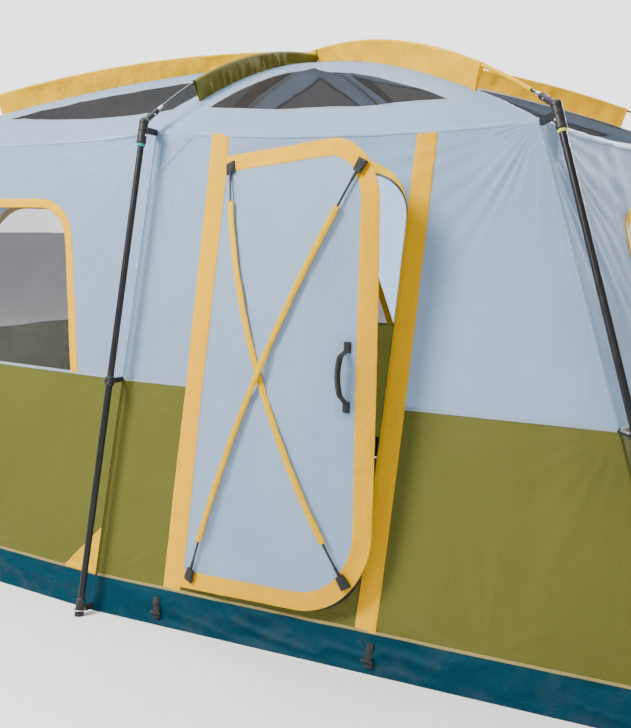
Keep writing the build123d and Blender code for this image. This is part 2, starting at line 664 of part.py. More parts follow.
# ---------------------------------------------------------------- zip of the doorway
ZIP_LOW, ZIP_HIGH, COIL_W, COIL_T = 240, 1380, 7, 1.6
zip_edge = right_strip[0]
with BuildPart() as zip_coil:
    edges = (zip_edge - COIL_W, zip_edge)
    with BuildSketch(DOOR_PLANE):
        Polygon(*door_wall_points(edges, SILL, DOOR_HEAD - DOOR_CORNER - COIL_W), align=None)
        offset(amount=-GAP / 2, kind=Kind.INTERSECTION)
    extrude(amount=COIL_T)
save(zip_coil, "zip_coil", BLACK)

zip_foot = door_wall_point(zip_edge - COIL_W / 2, ZIP_LOW)
zip_run = (door_wall_point(zip_edge - COIL_W / 2, ZIP_HIGH) - zip_foot)
ZIP = Plane(zip_foot - DOOR_PLANE.z_dir * 1, x_dir=zip_run, z_dir=DOOR_PLANE.z_dir * -1)
# ZIP: x up the coil, z into the tent
SLIDER_L, SLIDER_W, SLIDER_T = 20, 13, 4
PULL_L, PULL_W, PULL_T, PULL_DROP, PULL_HOLE = 44, 8, 2, 14, 1.8
with BuildPart() as zip_slider:
    with BuildSketch(ZIP):
        RectangleRounded(SLIDER_L, SLIDER_W, 4)
    extrude(amount=SLIDER_T)
    with BuildSketch(ZIP.offset(SLIDER_T)):
        with Locations((-PULL_DROP, 0)):
            RectangleRounded(PULL_L, PULL_W, 3)
        with Locations((PULL_L / 2 - PULL_DROP - PULL_L + 6, 0)):
            Circle(PULL_HOLE, mode=Mode.SUBTRACT)
    extrude(amount=PULL_T)
save(zip_slider, "zip_slider", BLACK)
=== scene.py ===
"""Looks of the family cabin tent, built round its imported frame. Metres, in the frame's own axes."""

import json
from math import atan2, cos, hypot, pi, radians, sin, tan

import bpy
import numpy as np
from mathutils import Matrix, Vector

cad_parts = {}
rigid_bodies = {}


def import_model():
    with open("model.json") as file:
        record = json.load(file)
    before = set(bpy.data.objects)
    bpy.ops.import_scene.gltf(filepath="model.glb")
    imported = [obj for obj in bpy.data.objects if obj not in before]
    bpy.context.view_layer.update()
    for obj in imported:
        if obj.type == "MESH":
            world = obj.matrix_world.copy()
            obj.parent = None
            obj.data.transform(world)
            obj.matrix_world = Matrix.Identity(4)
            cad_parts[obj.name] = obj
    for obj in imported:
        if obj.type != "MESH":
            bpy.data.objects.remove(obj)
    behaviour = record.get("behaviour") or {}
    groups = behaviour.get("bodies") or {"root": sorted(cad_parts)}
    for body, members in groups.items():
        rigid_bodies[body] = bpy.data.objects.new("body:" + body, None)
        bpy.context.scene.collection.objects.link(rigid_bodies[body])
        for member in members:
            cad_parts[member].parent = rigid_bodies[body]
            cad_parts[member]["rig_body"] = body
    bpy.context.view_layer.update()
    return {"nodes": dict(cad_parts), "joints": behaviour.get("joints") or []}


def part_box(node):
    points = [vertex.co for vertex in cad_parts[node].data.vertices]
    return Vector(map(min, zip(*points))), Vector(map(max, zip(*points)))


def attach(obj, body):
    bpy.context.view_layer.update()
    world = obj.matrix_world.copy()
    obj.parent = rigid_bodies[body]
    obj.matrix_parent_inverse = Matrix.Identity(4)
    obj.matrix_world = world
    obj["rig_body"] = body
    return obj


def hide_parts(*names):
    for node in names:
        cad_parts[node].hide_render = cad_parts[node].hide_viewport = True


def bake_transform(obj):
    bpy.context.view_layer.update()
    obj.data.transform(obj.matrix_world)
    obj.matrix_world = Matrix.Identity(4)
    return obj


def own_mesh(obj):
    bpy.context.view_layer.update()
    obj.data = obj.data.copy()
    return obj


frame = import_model()

# ---------------------------------------------------------------- sizes
GAP, CLOTH = 0.0015, 0.003
BASE_X, BASE_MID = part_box("floor_sheet")[1].x + GAP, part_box("floor_sheet")[1].y + GAP
BASE_Y = 1.404
TOP_X, TOP_Y, TOP_MID = 1.440, 1.0736, 1.160
EAVE, PEAK, ROOF_HALF = 1.750, 2.138, 2.010         # cloth heights: eave, crown, half way between
TUB, SEAM = 0.130, 0.835
EAVE_SAG = 0.030                                    # the eave hangs between the legs
SHEET_OUT = CLOTH / 2

STRIP_LEFT, STRIP_RIGHT, STRIP_W, STRIP_LEAN = 0.284, 1.076, 0.070, 0.050
SILL, DOOR_HEAD, TRIM_HEAD = 0.165, 1.612, 1.655
DOOR_CORNER, TRIM_CORNER = 0.160, 0.205
SILL_CORNER, SILL_LAP = 0.175, 0.030                # the doorway's low corner, and its lap on the sill
WINDOW_TOP, WINDOW_CORNER, WINDOW_FOOT, WINDOW_HEAD = 1.480, 0.190, 0.620, 0.440
TRIM_OUT, TRIM_LAP = 0.030, 0.008

LEAF_W, LEAF_FOOT, LEAF_TOP, BORDER = 0.740, 0.151, 1.686, 0.060
CORNER_LOW, CORNER_TOP = 0.276, 0.214                # the leaf's free corners
FOOT_AJAR, TOP_AJAR, LEAF_BOW, END_BOW, HINGE_EDGE = 2.5, 18.5, 0.090, 0.02, 0.006
RODS = {                                            # top, middle, low: across, share up, off the leaf
    "back": ((0.048, 0.970, 0.013), (0.331, 0.5, 0.010), (0.656, 0.074, 0.013)),
    "front": ((0.677, 0.935, 0.013), (0.355, 0.5, 0.026), (0.048, 0.028, 0.013)),
}
ROD_R, ROD_SLEEVE_FROM, ROD_SLEEVE_TO = 0.004, 0.10, 0.91
HANDLE_X, HANDLE_LOW, HANDLE_HIGH = 0.656, 0.452, 0.545

MESH_FOOT, MESH_MARGIN = 0.83, 0.084
END_MESH_FOOT, END_MESH_MARGIN = 0.975, 0.044        # the same over the two end walls
SLEEVE_START, SLEEVE_END, SLEEVE_R = 0.012, 0.80, 0.009
TAIL_END, TAIL_R = 0.970, 0.0075                    # narrow end of a sleeve, on towards the hub
SOCKET_OUT, SOCKET_Z, SOCKET_REACH = 0.008, 1.824, 0.088
CROWN = {"middle": 2.162, "left": 2.176, "right": 2.190}
FOOT_OUT_CORNER, FOOT_OUT_MIDDLE = (0.060, 0.096), 0.070
LEG_R, HUB_R, POLE_SOCKET_R, JOINT_Z = 0.012, 0.017, 0.0115, 0.850
HUB_ARM_START, HUB_ARM_Z = 0.028, EAVE - 0.008

RING = ["front_left", "front_middle", "front_right", "back_right", "back_middle", "back_left"]
WALLS = {
    "front_left": ("front_left", "front_middle"),
    "front_right": ("front_middle", "front_right"),
    "right": ("front_right", "back_right"),
    "back_right": ("back_right", "back_middle"),
    "back_left": ("back_middle", "back_left"),
    "left": ("back_left", "front_left"),
}
WINDOW_WALLS = [w for w in WALLS if w != "front_right"]
END_WALLS = "left", "right"
ARCH_OF = {
    "front_left": ("left", 1), "front_middle": ("middle", 1), "front_right": ("right", 1),
    "back_right": ("left", -1), "back_middle": ("middle", -1), "back_left": ("right", -1),
}
UP = np.array([0.0, 0.0, 1.0])


# ---------------------------------------------------------------- small tools
def unit(v):
    """v scaled to length 1, along its last axis."""
    v = np.asarray(v, float)
    return v / np.maximum(np.linalg.norm(v, axis=-1, keepdims=True), 1e-12)


def ease(t):
    """Smooth step from 0 to 1."""
    t = np.clip(t, 0, 1)
    return t * t * (3 - 2 * t)


LATTICE = np.random.default_rng(7).uniform(-1, 1, (128, 128))


def noise(x, y, seed=0):
    """Smooth random height from -1 to 1 with features one unit apart."""
    x, y = np.asarray(x, float) + 17.3 * seed, np.asarray(y, float) + 9.7 * seed
    i, j = np.floor(x).astype(int), np.floor(y).astype(int)
    u, v = ease(x - i), ease(y - j)
    corners = [LATTICE[(i + a) % 128, (j + b) % 128] for a, b in ((0, 0), (1, 0), (0, 1), (1, 1))]
    low = corners[0] * (1 - u) + corners[1] * u
    high = corners[2] * (1 - u) + corners[3] * u
    return low * (1 - v) + high * v


def crease(x, y, seed=0):
    """Random ridges: flat cloth with sharp folds between its hollows."""
    return 1 - 2 * np.sqrt(np.abs(noise(x, y, seed)) + 0.01)


def steps_of(line):
    """Length of each step of a line."""
    return np.linalg.norm(np.diff(line, axis=0), axis=1)


def distance_along(line):
    """How far along a line each of its points is."""
    return np.r_[0, np.cumsum(steps_of(line))]


def length_of(line):
    return float(steps_of(line).sum())


def heading(line):
    """Direction of a line at each of its points."""
    return unit(np.gradient(line, axis=0))


def pairs(u, v):
    """Flat places from two arrays that are broadcast to one shape."""
    return np.stack(np.broadcast_arrays(u, v), -1)


def resample(points, count):
    """Evenly spaced points along a polyline."""
    points = np.asarray(points, float)
    run = distance_along(points)
    places = np.linspace(0, run[-1], count)
    return np.stack([np.interp(places, run, points[:, k]) for k in range(points.shape[1])], 1)


def rounded(points, radii, counts):
    """A line through corner points, each inner corner rounded and its middle kept as a point."""
    points = [np.asarray(p, float) for p in points]
    radii = np.broadcast_to(radii, len(points) - 2)
    dense, marks = [points[0]], [0]
    for before, here, after, radius in zip(points, points[1:], points[2:], radii):
        a, b = unit(before - here), unit(after - here)
        half = np.arccos(np.clip(a @ b, -1, 1)) / 2
        centre = here + unit(a + b) * radius / sin(half)
        start, end = here + a * radius / tan(half) - centre, here + b * radius / tan(half) - centre
        turn = [start * (1 - t) + end * t for t in np.linspace(0, 1, 25)]
        dense += [centre + unit(p) * radius for p in turn] if radius else [here]
        marks.append(len(dense) - (13 if radius else 1))
    dense.append(points[-1])
    marks.append(len(dense) - 1)
    parts = [resample(dense[a:b + 1], n + 1) for a, b, n in zip(marks, marks[1:], counts)]
    return np.concatenate([parts[0]] + [p[1:] for p in parts[1:]])


def between(line_a, line_b, steps):
    """Grid of points from one line to another."""
    t = np.linspace(0, 1, steps + 1)[:, None, None]
    return line_a[None] * (1 - t) + line_b[None] * t


def laid(sheet, flat, lift=0.0):
    """A grid of flat places put on a sheet, as build takes it."""
    return sheet.at(flat[..., 0], flat[..., 1], lift), flat


def build(name, parts, finish, body="tent", node=None):
    """One mesh from grids: parts is a list of (points, uv), each rows x columns; node is what it replaces."""
    verts, uvs, faces, base = [], [], [], 0
    for points, uv in parts:
        rows, cols = points.shape[:2]
        index = base + np.arange(rows * cols).reshape(rows, cols)
        quads = np.stack([index[:-1, :-1], index[:-1, 1:], index[1:, 1:], index[1:, :-1]], -1)
        faces.append(quads.reshape(-1, 4))
        verts.append(points.reshape(-1, 3))
        uvs.append(uv.reshape(-1, 2))
        base += rows * cols
    verts, uvs, faces = np.concatenate(verts), np.concatenate(uvs), np.concatenate(faces)
    mesh = bpy.data.meshes.new(name)
    mesh.from_pydata(verts.tolist(), [], faces.tolist())
    layer = mesh.uv_layers.new(name="UVMap")
    layer.data.foreach_set("uv", uvs[faces.reshape(-1)].astype(np.float32).reshape(-1))
    mesh.polygons.foreach_set("use_smooth", np.ones(len(faces), bool))
    mesh.materials.append(finish)
    mesh.validate()
    mesh.update()
    obj = bpy.data.objects.new(name, mesh)
    bpy.context.scene.collection.objects.link(obj)
    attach(obj, body)
    if node:
        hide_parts(node)
    return obj


def tube(line, radius, sides=12):
    """Round tube along a 3-D line; radius is one number or one for each point."""
    line = np.asarray(line, float)
    run = heading(line)
    first = unit(np.cross(run[0], UP if abs(run[0] @ UP) < 0.9 else np.array([1.0, 0, 0])))
    side = np.empty_like(line)
    for i, direction in enumerate(run):
        first = unit(first - direction * (first @ direction))
        side[i] = first
    other = np.cross(run, side)
    angle = np.linspace(0, 2 * pi, sides + 1)
    r = np.broadcast_to(np.asarray(radius, float), (len(line),))[:, None] * np.ones(sides + 1)
    ring = side[:, None] * np.cos(angle)[None, :, None] + other[:, None] * np.sin(angle)[None, :, None]
    length = distance_along(line)
    uv = pairs(length[:, None], angle[None] * np.mean(radius))
    return line[:, None] + ring * r[..., None], uv


def capped(line, radius, sides=12):
    """A tube whose ends close in a small round."""
    line = np.asarray(line, float)
    count = len(line)
    r = np.broadcast_to(np.asarray(radius, float), (count,)).copy()
    head, tail = unit(line[0] - line[1]), unit(line[-1] - line[-2])
    angles = np.linspace(0, pi / 2, 5)[1:]
    start = [line[0] + head * r[0] * 0.5 * sin(a) for a in angles[::-1]]
    end = [line[-1] + tail * r[-1] * 0.5 * sin(a) for a in angles]
    radii = [r[0] * cos(a) for a in angles[::-1]] + list(r) + [r[-1] * cos(a) for a in angles]
    return tube(np.array(start + list(line) + end), np.maximum(radii, 1e-5), sides)


def ribbon(line, across, normal, width, thick, lift=0.0, waves=0.0):
    """Flat webbing or tape along a 3-D line, with its edges turned down."""
    line, across, normal = (np.asarray(v, float) for v in (line, across, normal))
    edge = min(thick, width / 6)
    places = np.array([-width / 2, -width / 2 + edge * 0.3, -width / 2 + edge, 0,
                       width / 2 - edge, width / 2 - edge * 0.3, width / 2])
    heights = np.array([0, 0.75, 1, 1.05, 1, 0.75, 0]) * thick + lift
    length = distance_along(line)
    wave = waves * noise(length[:, None] / 0.03, places[None] / 0.03) if waves else 0.0
    points = line[:, None] + across[:, None] * places[None, :, None]
    points = points + normal[:, None] * (heights[None, :, None] + np.asarray(wave)[..., None])
    return points, pairs(length[:, None], places[None])


def band(sheet, path, width, lift=0.0006, thick=0.0016, waves=0.0):
    """Tape sewn on a sheet along a path in the sheet's own flat coordinates."""
    path = np.asarray(path, float)
    run = heading(path)
    side = np.stack([-run[:, 1], run[:, 0]], 1)
    edge = min(0.0015, width / 6)
    places = np.array([-width / 2, -width / 2 + edge, -width / 4, 0, width / 4, width / 2 - edge, width / 2])
    heights = lift + thick * np.array([0, 0.9, 1, 1, 1, 0.9, 0])
    flat = path[:, None] + side[:, None] * places[None, :, None]
    length = distance_along(path)
    wave = waves * noise(length[:, None] / 0.05, places[None] / 0.04, 3)
    points = sheet.at(flat[..., 0], flat[..., 1], heights[None] + wave)
    return points, pairs(length[:, None], places[None])


def arc_through(start, middle, end, count):
    """Points on the circle through three points."""
    a, b = middle - start, end - start
    normal = np.cross(a, b)
    centre = start + (np.cross(normal, a) * (b @ b) + np.cross(b, normal) * (a @ a)) / (2 * normal @ normal)
    e1 = unit(start - centre)
    e2 = unit(np.cross(normal, e1))
    last = atan2((end - centre) @ e2, (end - centre) @ e1) % (2 * pi)
    angle = np.linspace(0, last, count)[:, None]
    return centre + np.linalg.norm(start - centre) * (np.cos(angle) * e1 + np.sin(angle) * e2)


# ---------------------------------------------------------------- the sheets' own surfaces
def corner(name, height):
    """Point on the wall edge at the named corner, at a height."""
    side = -1 if name.startswith("front") else 1
    hand = {"left": -1, "middle": 0, "right": 1}[name.split("_")[1]]
    low = np.array([hand * BASE_X, side * (BASE_Y if hand else BASE_MID), 0])
    high = np.array([hand * TOP_X, side * (TOP_Y if hand else TOP_MID), EAVE])
    return low + (high - low) * (np.asarray(height, float)[..., None] / EAVE)


class Wall:
    """A wall as a sheet: x along its foot, y up its slope, and how it folds under tension."""

    def __init__(self, name):
        a, b = WALLS[name]
        self.name, self.origin = name, corner(a, 0)
        run, rise_a, rise_b = corner(b, 0) - corner(a, 0), corner(a, EAVE) - corner(a, 0), corner(b, EAVE)
        self.width = float(np.linalg.norm(run))
        self.ex = unit(run)
        self.n = unit(np.cross(self.ex, rise_a))
        self.ey = np.cross(self.n, self.ex)
        self.tall = EAVE / self.ey[2]
        self.lean_a = float(rise_a @ self.ex) / self.tall
        self.lean_b = (float((rise_b - self.origin) @ self.ex) - self.width) / self.tall
        self.seed = list(WALLS).index(name) + 1

    def slope(self, height):
        """Distance up the slope of a height above the ground."""
        return height / self.ey[2]

    def edge(self, share, height):
        """Flat place at a share of the way along the wall, at a height."""
        y = self.slope(np.asarray(height, float))
        left, right = self.lean_a * y, self.width + self.lean_b * y
        return pairs(left + (right - left) * share, y)

    def upright(self, x, height):
        """Flat place of a point with this frame x, at a height; for the door wall."""
        height = np.asarray(height, float)
        return self.edge(np.asarray(x) / corner("front_right", height)[..., 0], height)

    def relief(self, x, y, u, v):
        """How far the cloth stands out of its plane."""
        s = self.seed
        inside = ease(np.minimum(u, 1 - u) * self.width / 0.16)
        slack = -0.010 * np.sin(pi * u) * np.sin(pi * v)
        folds = 0.0060 * noise(x / 0.26, y / 0.95, s) + 0.0032 * noise(x / 0.10, y / 0.42, s + 5)
        folds = folds + 0.0022 * crease(x / 0.33 + 0.6 * y, y / 0.6, s + 9)
        for cx, cy, size, reach, turns, phase in self.pulls():
            dx, dy = x - cx, y - cy
            r, angle = np.hypot(dx, dy), np.arctan2(dy, dx)
            ray = np.sin(turns * angle + phase + 2.4 * noise(angle * 3 + cx, r / 0.35, s + 11))
            patchy = 0.55 + 0.75 * noise(angle * 4 + cy, r / 0.22, s + 13)
            folds = folds + size * patchy * np.exp(-r / reach) * ease(r / 0.12) * ray
        tub = 0.010 * crease(x / 0.19, y / 0.05 + x / 0.35, s + 3) + 0.007 * noise(x / 0.11, y / 0.07, s + 4)
        low = 1 - ease((y - self.slope(TUB) * 0.75) / 0.05)
        bottom = ease(y / 0.03)
        by_seam = np.exp(-np.abs(y - self.slope(SEAM)) / 0.05)
        seam_gather = 0.0012 * noise(x / 0.028, y / 0.12, s + 6) * by_seam
        return inside * (slack * ease(v / 0.2) + folds * ease(y / 0.25) + tub * low * bottom + seam_gather)

    def pulls(self):
        """Where fittings pull on the cloth: (x, y, fold height, reach, folds round it, phase)."""
        ends = np.array([0, 1.0])
        top, mid, low = self.edge(ends, EAVE), self.edge(ends, SEAM), self.slope(TUB)
        spots = [(*top[0], 0.0085, 0.36, 30, 0.4), (*top[1], 0.0085, 0.36, 30, 1.9)]
        spots += [(*mid[0], 0.0050, 0.20, 20, 0.2), (*mid[1], 0.0050, 0.20, 20, 2.2)]
        spots += [(self.width * share, low, 0.0060, 0.24, 15, 7 * share) for share in (0.02, 0.3, 0.7, 0.98)]
        return spots

    def at(self, x, y, lift=0.0):
        """Point in the frame of a flat place, lift above the cloth's middle."""
        x, y = np.asarray(x, float), np.asarray(y, float)
        left, right = self.lean_a * y, self.width + self.lean_b * y
        u, v = np.clip((x - left) / (right - left), 0, 1), np.clip(y / self.tall, 0, 1)
        sag = EAVE_SAG * 4 * u * (1 - u) * v**5
        out = SHEET_OUT + self.relief(x, y, u, v) + lift
        return self.origin + self.ex * x[..., None] + self.ey * (y - sag)[..., None] + self.n * out[..., None]


def roof_height(share):
    """Height of the roof cloth at a share of the way from the crown to the eave."""
    bend = 2 * (EAVE + PEAK - 2 * ROOF_HALF)
    return PEAK + (EAVE - PEAK - bend) * share + bend * share**2


class Roof:
    """A roof sector as a sheet: x along the eave from its middle, y out from the crown in plan."""

    def __init__(self, name):
        self.wall = walls[name]
        a, b = (corner(n, EAVE)[:2] for n in WALLS[name])
        self.run = unit(b - a)
        self.out = np.array([self.run[1], -self.run[0]])
        self.reach = float(a @ self.out)
        self.x_a, self.x_b = float(a @ self.run), float(b @ self.run)
        self.seed = list(WALLS).index(name) + 21

    def at(self, x, y, lift=0.0):
        x, y = np.asarray(x, float), np.asarray(y, float)
        share = np.clip(y / self.reach, 1e-4, 1.0)
        t = np.clip((x / share - self.x_a) / (self.x_b - self.x_a), 0, 1)
        inside = ease(np.minimum(t, 1 - t) * (self.x_b - self.x_a) * share / 0.10)
        ripple = 0.004 * noise(x / 0.2, y / 0.3, self.seed)
        ripple = ripple + 0.0022 * crease(x / 0.12, y / 0.35, self.seed + 2)
        droop = -0.040 * 4 * t * (1 - t) * ease(share / 0.3) * ease((1 - share) / 0.5)
        z = roof_height(share) + inside * (ripple + droop) * ease((1 - share) / 0.08) + lift
        plan = self.run * x[..., None] + self.out * (self.reach * share)[..., None]
        flat = np.concatenate([plan, z[..., None]], -1)
        eave = self.wall.at(*np.moveaxis(self.wall.edge(t, EAVE), -1, 0))
        level = self.run * (self.x_a + (self.x_b - self.x_a) * t)[..., None] + self.out * self.reach
        drop = eave - np.concatenate([level, np.full(t.shape + (1,), EAVE)], -1)
        return flat + drop * (share**5)[..., None]


class Leaf:
    """The door leaf as a sheet: x across it from the hinge, y up the hinge line."""

    def __init__(self):
        hinge = next(j for j in frame["joints"] if j["name"] == "door_hinge")
        self.origin, self.z = np.array(hinge["pos_m"]), -np.array(hinge["axis"])
        self.x = unit(np.cross(self.z, walls["front_right"].n))
        self.y = np.cross(self.z, self.x)
        self.rods, self.ridges = {}, []
        for name, spots in RODS.items():
            ends = [self.bare(np.array(x), self.height(share), off) for x, share, off in spots]
            self.rods[name] = arc_through(*ends, 181)
            self.ridges.append(self.flat(self.rods[name])[::-1])

    def height(self, share):
        return LEAF_FOOT + (LEAF_TOP - LEAF_FOOT) * np.asarray(share, float)

    def shape(self, x, y):
        """Angle ajar and bow of the leaf at a flat place."""
        share, part = (y - LEAF_FOOT) / (LEAF_TOP - LEAF_FOOT), x / LEAF_W
        arch = END_BOW + (1 - END_BOW) * np.sin(pi * np.clip(share, 0, 1))
        return np.radians(FOOT_AJAR + (TOP_AJAR - FOOT_AJAR) * share), 4 * LEAF_BOW * part * (1 - part) * arch

    def bare(self, x, y, lift=0.0):
        """Point off the smooth leaf."""
        angle, bow = self.shape(x, y)
        bow = bow + lift
        across = x * np.cos(angle) - bow * np.sin(angle)
        inwards = -x * np.sin(angle) - bow * np.cos(angle)
        return self.origin + self.x * across[..., None] + self.y * inwards[..., None] + self.z * y[..., None]

    def flat(self, points):
        """Flat places of points off the smooth leaf, and how far off they stand."""
        local = (points - self.origin) @ np.array([self.x, self.y, self.z]).T
        angle = self.shape(0.0, local[:, 2])[0]
        x = local[:, 0] * np.cos(angle) - local[:, 1] * np.sin(angle)
        off = -local[:, 0] * np.sin(angle) - local[:, 1] * np.cos(angle) - self.shape(x, local[:, 2])[1]
        return np.stack([x, local[:, 2], off], 1)

    def relief(self, x, y):
        """The cloth rises to the rods it hangs from, with soft drag lines, stronger by its edges."""
        edge = np.exp(-np.minimum(LEAF_W - x, np.minimum(y - LEAF_FOOT, LEAF_TOP - y)) / 0.05)
        folds = 0.0036 * noise(x / 0.15 + 0.5 * y, y / 0.8, 40) + 0.0020 * noise(x / 0.06, y / 0.3, 41)
        folds = folds + 0.0016 * edge * noise((x + y) / 0.045, (y - x) / 0.06, 42)
        drag, tent, cross = 0.0, 0.0, self.ridges[0]
        for seed, line in enumerate(self.ridges):
            rod_x, off = np.interp(y, line[:, 1], line[:, 0]), np.interp(y, line[:, 1], line[:, 2])
            apart = np.abs(rod_x - np.interp(y, cross[:, 1], cross[:, 0])) if seed else 1.0
            near = np.exp(-np.abs(x - rod_x) / 0.075)
            tent = np.maximum(tent, np.clip(off - 0.0125, 0, 1) * near * ease(apart / 0.08))
            lines = noise((y + 0.8 * (x - rod_x)) / 0.035, (x - rod_x) / 0.12, 44 + seed)
            drag = drag + 0.0022 * near * lines
        ends = ease(np.minimum(LEAF_W - x, np.minimum(y - LEAF_FOOT, LEAF_TOP - y)) / 0.12)
        return ease(x / 0.05) * (folds + drag * ends + tent)

    def at(self, x, y, lift=0.0):
        x, y = np.asarray(x, float), np.asarray(y, float)
        return self.bare(x, y, self.relief(x, y) + lift)

    def place(self, x, share, lift=0.0):
        return self.at(x, self.height(share), lift)


walls = {name: Wall(name) for name in WALLS}
roofs = {name: Roof(name) for name in WALLS}
leaf = Leaf()


class Arch:
    """Circular arc of one roof pole, from a front corner over the crown."""

    def __init__(self, name):
        eave = corner("front_" + name, EAVE)
        self.eave_radius = hypot(eave[0], eave[1])
        self.span = self.eave_radius + SOCKET_OUT
        self.out = unit(np.array([eave[0], eave[1], 0]))
        rise = CROWN[name] - SOCKET_Z
        self.radius = (self.span**2 + rise**2) / (2 * rise)
        self.centre = np.array([0, 0, CROWN[name] - self.radius])

    def point(self, distance):
        angle = np.arcsin(np.asarray(distance, float) / self.radius)[..., None]
        return self.centre + self.out * self.radius * np.sin(angle) + UP * self.radius * np.cos(angle)

    def up(self, distance):
        return unit(self.point(distance) - self.centre)


arches = {name: Arch(name) for name in CROWN}


def leg_line(name):
    """Elbow at the top of a leg, its foot, and where the roof pole leaves the socket."""
    arch_name, end = ARCH_OF[name]
    arch = arches[arch_name]
    leave = arch.point(end * arch.span)
    run = unit(np.cross(np.cross(arch.up(end * arch.span), arch.out * end), arch.up(end * arch.span)))
    base = corner(name, 0)
    out_x, out_y = (0, FOOT_OUT_MIDDLE) if name.endswith("middle") else FOOT_OUT_CORNER
    foot = base + np.array([np.sign(base[0]) * out_x, -end * out_y, 0])
    return leave + run * SOCKET_REACH, foot, leave


legs = {name: leg_line(name) for name in RING}


# ---------------------------------------------------------------- materials
class Shader:
    """A material under construction."""

    def __init__(self, name):
        self.material = bpy.data.materials.new(name)
        self.material.use_nodes = True
        self.tree = self.material.node_tree
        self.tree.nodes.clear()
        self.out = self.tree.nodes.new("ShaderNodeOutputMaterial")
        self.coords = self.tree.nodes.new("ShaderNodeTexCoord")
        self.uv, self.place = self.coords.outputs["UV"], self.coords.outputs["Object"]

    def node(self, kind, inputs, output=0, **settings):
        """A node with its inputs set to sockets or plain values; gives one output socket."""
        made = self.tree.nodes.new("ShaderNode" + kind)
        for key, value in settings.items():
            setattr(made, key, value)
        for key, value in inputs.items():
            socket = made.inputs[key]
            if isinstance(value, bpy.types.NodeSocket):
                self.tree.links.new(value, socket)
            else:
                socket.default_value = value
        return made.outputs[output]

    def math(self, operation, a, b=0.0, c=0.0):
        return self.node("Math", {0: a, 1: b, 2: c}, operation=operation)

    def scaled(self, vector, scale):
        return self.node("Mapping", {"Vector": vector, "Scale": scale})

    def noise(self, vector, scale, detail=3.0, distortion=0.0):
        inputs = {"Vector": vector, "Scale": scale, "Detail": detail, "Distortion": distortion}
        return self.node("TexNoise", inputs)

    def spread(self, value, low, high, to_low=0.0, to_high=1.0):
        ends = {"Value": value, "From Min": low, "From Max": high, "To Min": to_low, "To Max": to_high}
        return self.node("MapRange", ends)

    def blend(self, share, a, b, kind="MIX"):
        made = self.tree.nodes.new("ShaderNodeMix")
        made.data_type, made.blend_type = "RGBA", kind
        for key, value in ((0, share), (6, a), (7, b)):
            if isinstance(value, bpy.types.NodeSocket):
                self.tree.links.new(value, made.inputs[key])
            else:
                made.inputs[key].default_value = value if key == 0 else (*value[:3], 1.0)
        return made.outputs[2]

    def bump(self, height, distance, strength=1.0, normal=None):
        inputs = {"Height": height, "Distance": distance, "Strength": strength}
        if normal is not None:
            inputs["Normal"] = normal
        return self.node("Bump", inputs)

    def close(self, shader):
        self.tree.links.new(shader, self.out.inputs["Surface"])
        return self.material


def tone(colour, factor):
    return tuple(min(1.0, c * factor) for c in colour)


def weave_height(m, pitch):
    """Height of a plain weave, threads over and under, from the sheet's own coordinates."""
    split = m.tree.nodes.new("ShaderNodeSeparateXYZ")
    m.tree.links.new(m.uv, split.inputs[0])
    warp = m.math("SINE", m.math("MULTIPLY", split.outputs[0], 2 * pi / pitch))
    weft = m.math("SINE", m.math("MULTIPLY", split.outputs[1], 2 * pi / pitch))
    return m.math("MULTIPLY", warp, weft), split.outputs[0], split.outputs[1]


def cloth(name, colour, roughness=0.52, pitch=0.0011, thin=0.22, crinkle=1.0, stitches=(), thread=None):
    """Woven polyester: weave, slubs, creases, fading and dirt; stitches are rows across v."""
    m = Shader(name)
    weave, along, across = weave_height(m, pitch)
    broad = m.noise(m.place, 2.3, 4.0, 0.6)
    slub = m.noise(m.scaled(m.uv, (35.0, 700.0, 1.0)), 1.0, 2.0)
    crinkled = m.noise(m.place, 24.0, 5.0, 1.4)
    shade = m.blend(m.spread(broad, 0.32, 0.68), tone(colour, 0.94), tone(colour, 1.05))
    shade = m.blend(m.spread(slub, 0.35, 0.75, 0.0, 0.10), shade, tone(colour, 0.72))
    shade = m.blend(m.spread(weave, -1.0, 1.0, 0.0, 0.10), shade, tone(colour, 1.25))
    drop = m.node("SeparateXYZ", {0: m.place}, output=2)
    patchy = m.spread(m.noise(m.place, 11.0, 6.0), 0.50, 0.80, 0.0, 0.10)
    dirt = m.math("MULTIPLY", m.spread(drop, 0.30, 0.0), patchy)
    shade = m.blend(dirt, shade, (0.16, 0.13, 0.09))
    fold = m.bump(crinkled, 0.0045 * crinkle, 0.55)
    normal = m.bump(weave, 0.00014, 0.8, fold)
    if stitches:
        apart = [m.math("ABSOLUTE", m.math("SUBTRACT", across, v)) for v in stitches]
        rows = [m.math("LESS_THAN", gap, 0.0006) for gap in apart]
        line = rows[0]
        for row in rows[1:]:
            line = m.math("MAXIMUM", line, row)
        dash = m.math("LESS_THAN", m.math("FRACT", m.math("MULTIPLY", along, 1 / 0.0042)), 0.68)
        sewn = m.math("MULTIPLY", line, dash)
        shade = m.blend(m.math("MULTIPLY", sewn, 0.8), shade, thread or tone(colour, 1.35))
        dent = m.math("SUBTRACT", m.math("MULTIPLY", sewn, 0.7), m.math("MULTIPLY", line, 1.0))
        normal = m.bump(dent, 0.0007, 1.0, normal)
    rough = m.spread(m.noise(m.place, 5.0, 4.0), 0.3, 0.7, roughness - 0.06, roughness + 0.09)
    face = m.node("BsdfPrincipled", {
        "Base Color": shade, "Roughness": rough, "Normal": normal, "Specular IOR Level": 0.10,
    })
    if not thin:
        return m.close(face)
    glow = m.node("BsdfTranslucent", {"Color": shade, "Normal": normal})
    return m.close(m.node("MixShader", {0: thin, 1: face, 2: glow}))


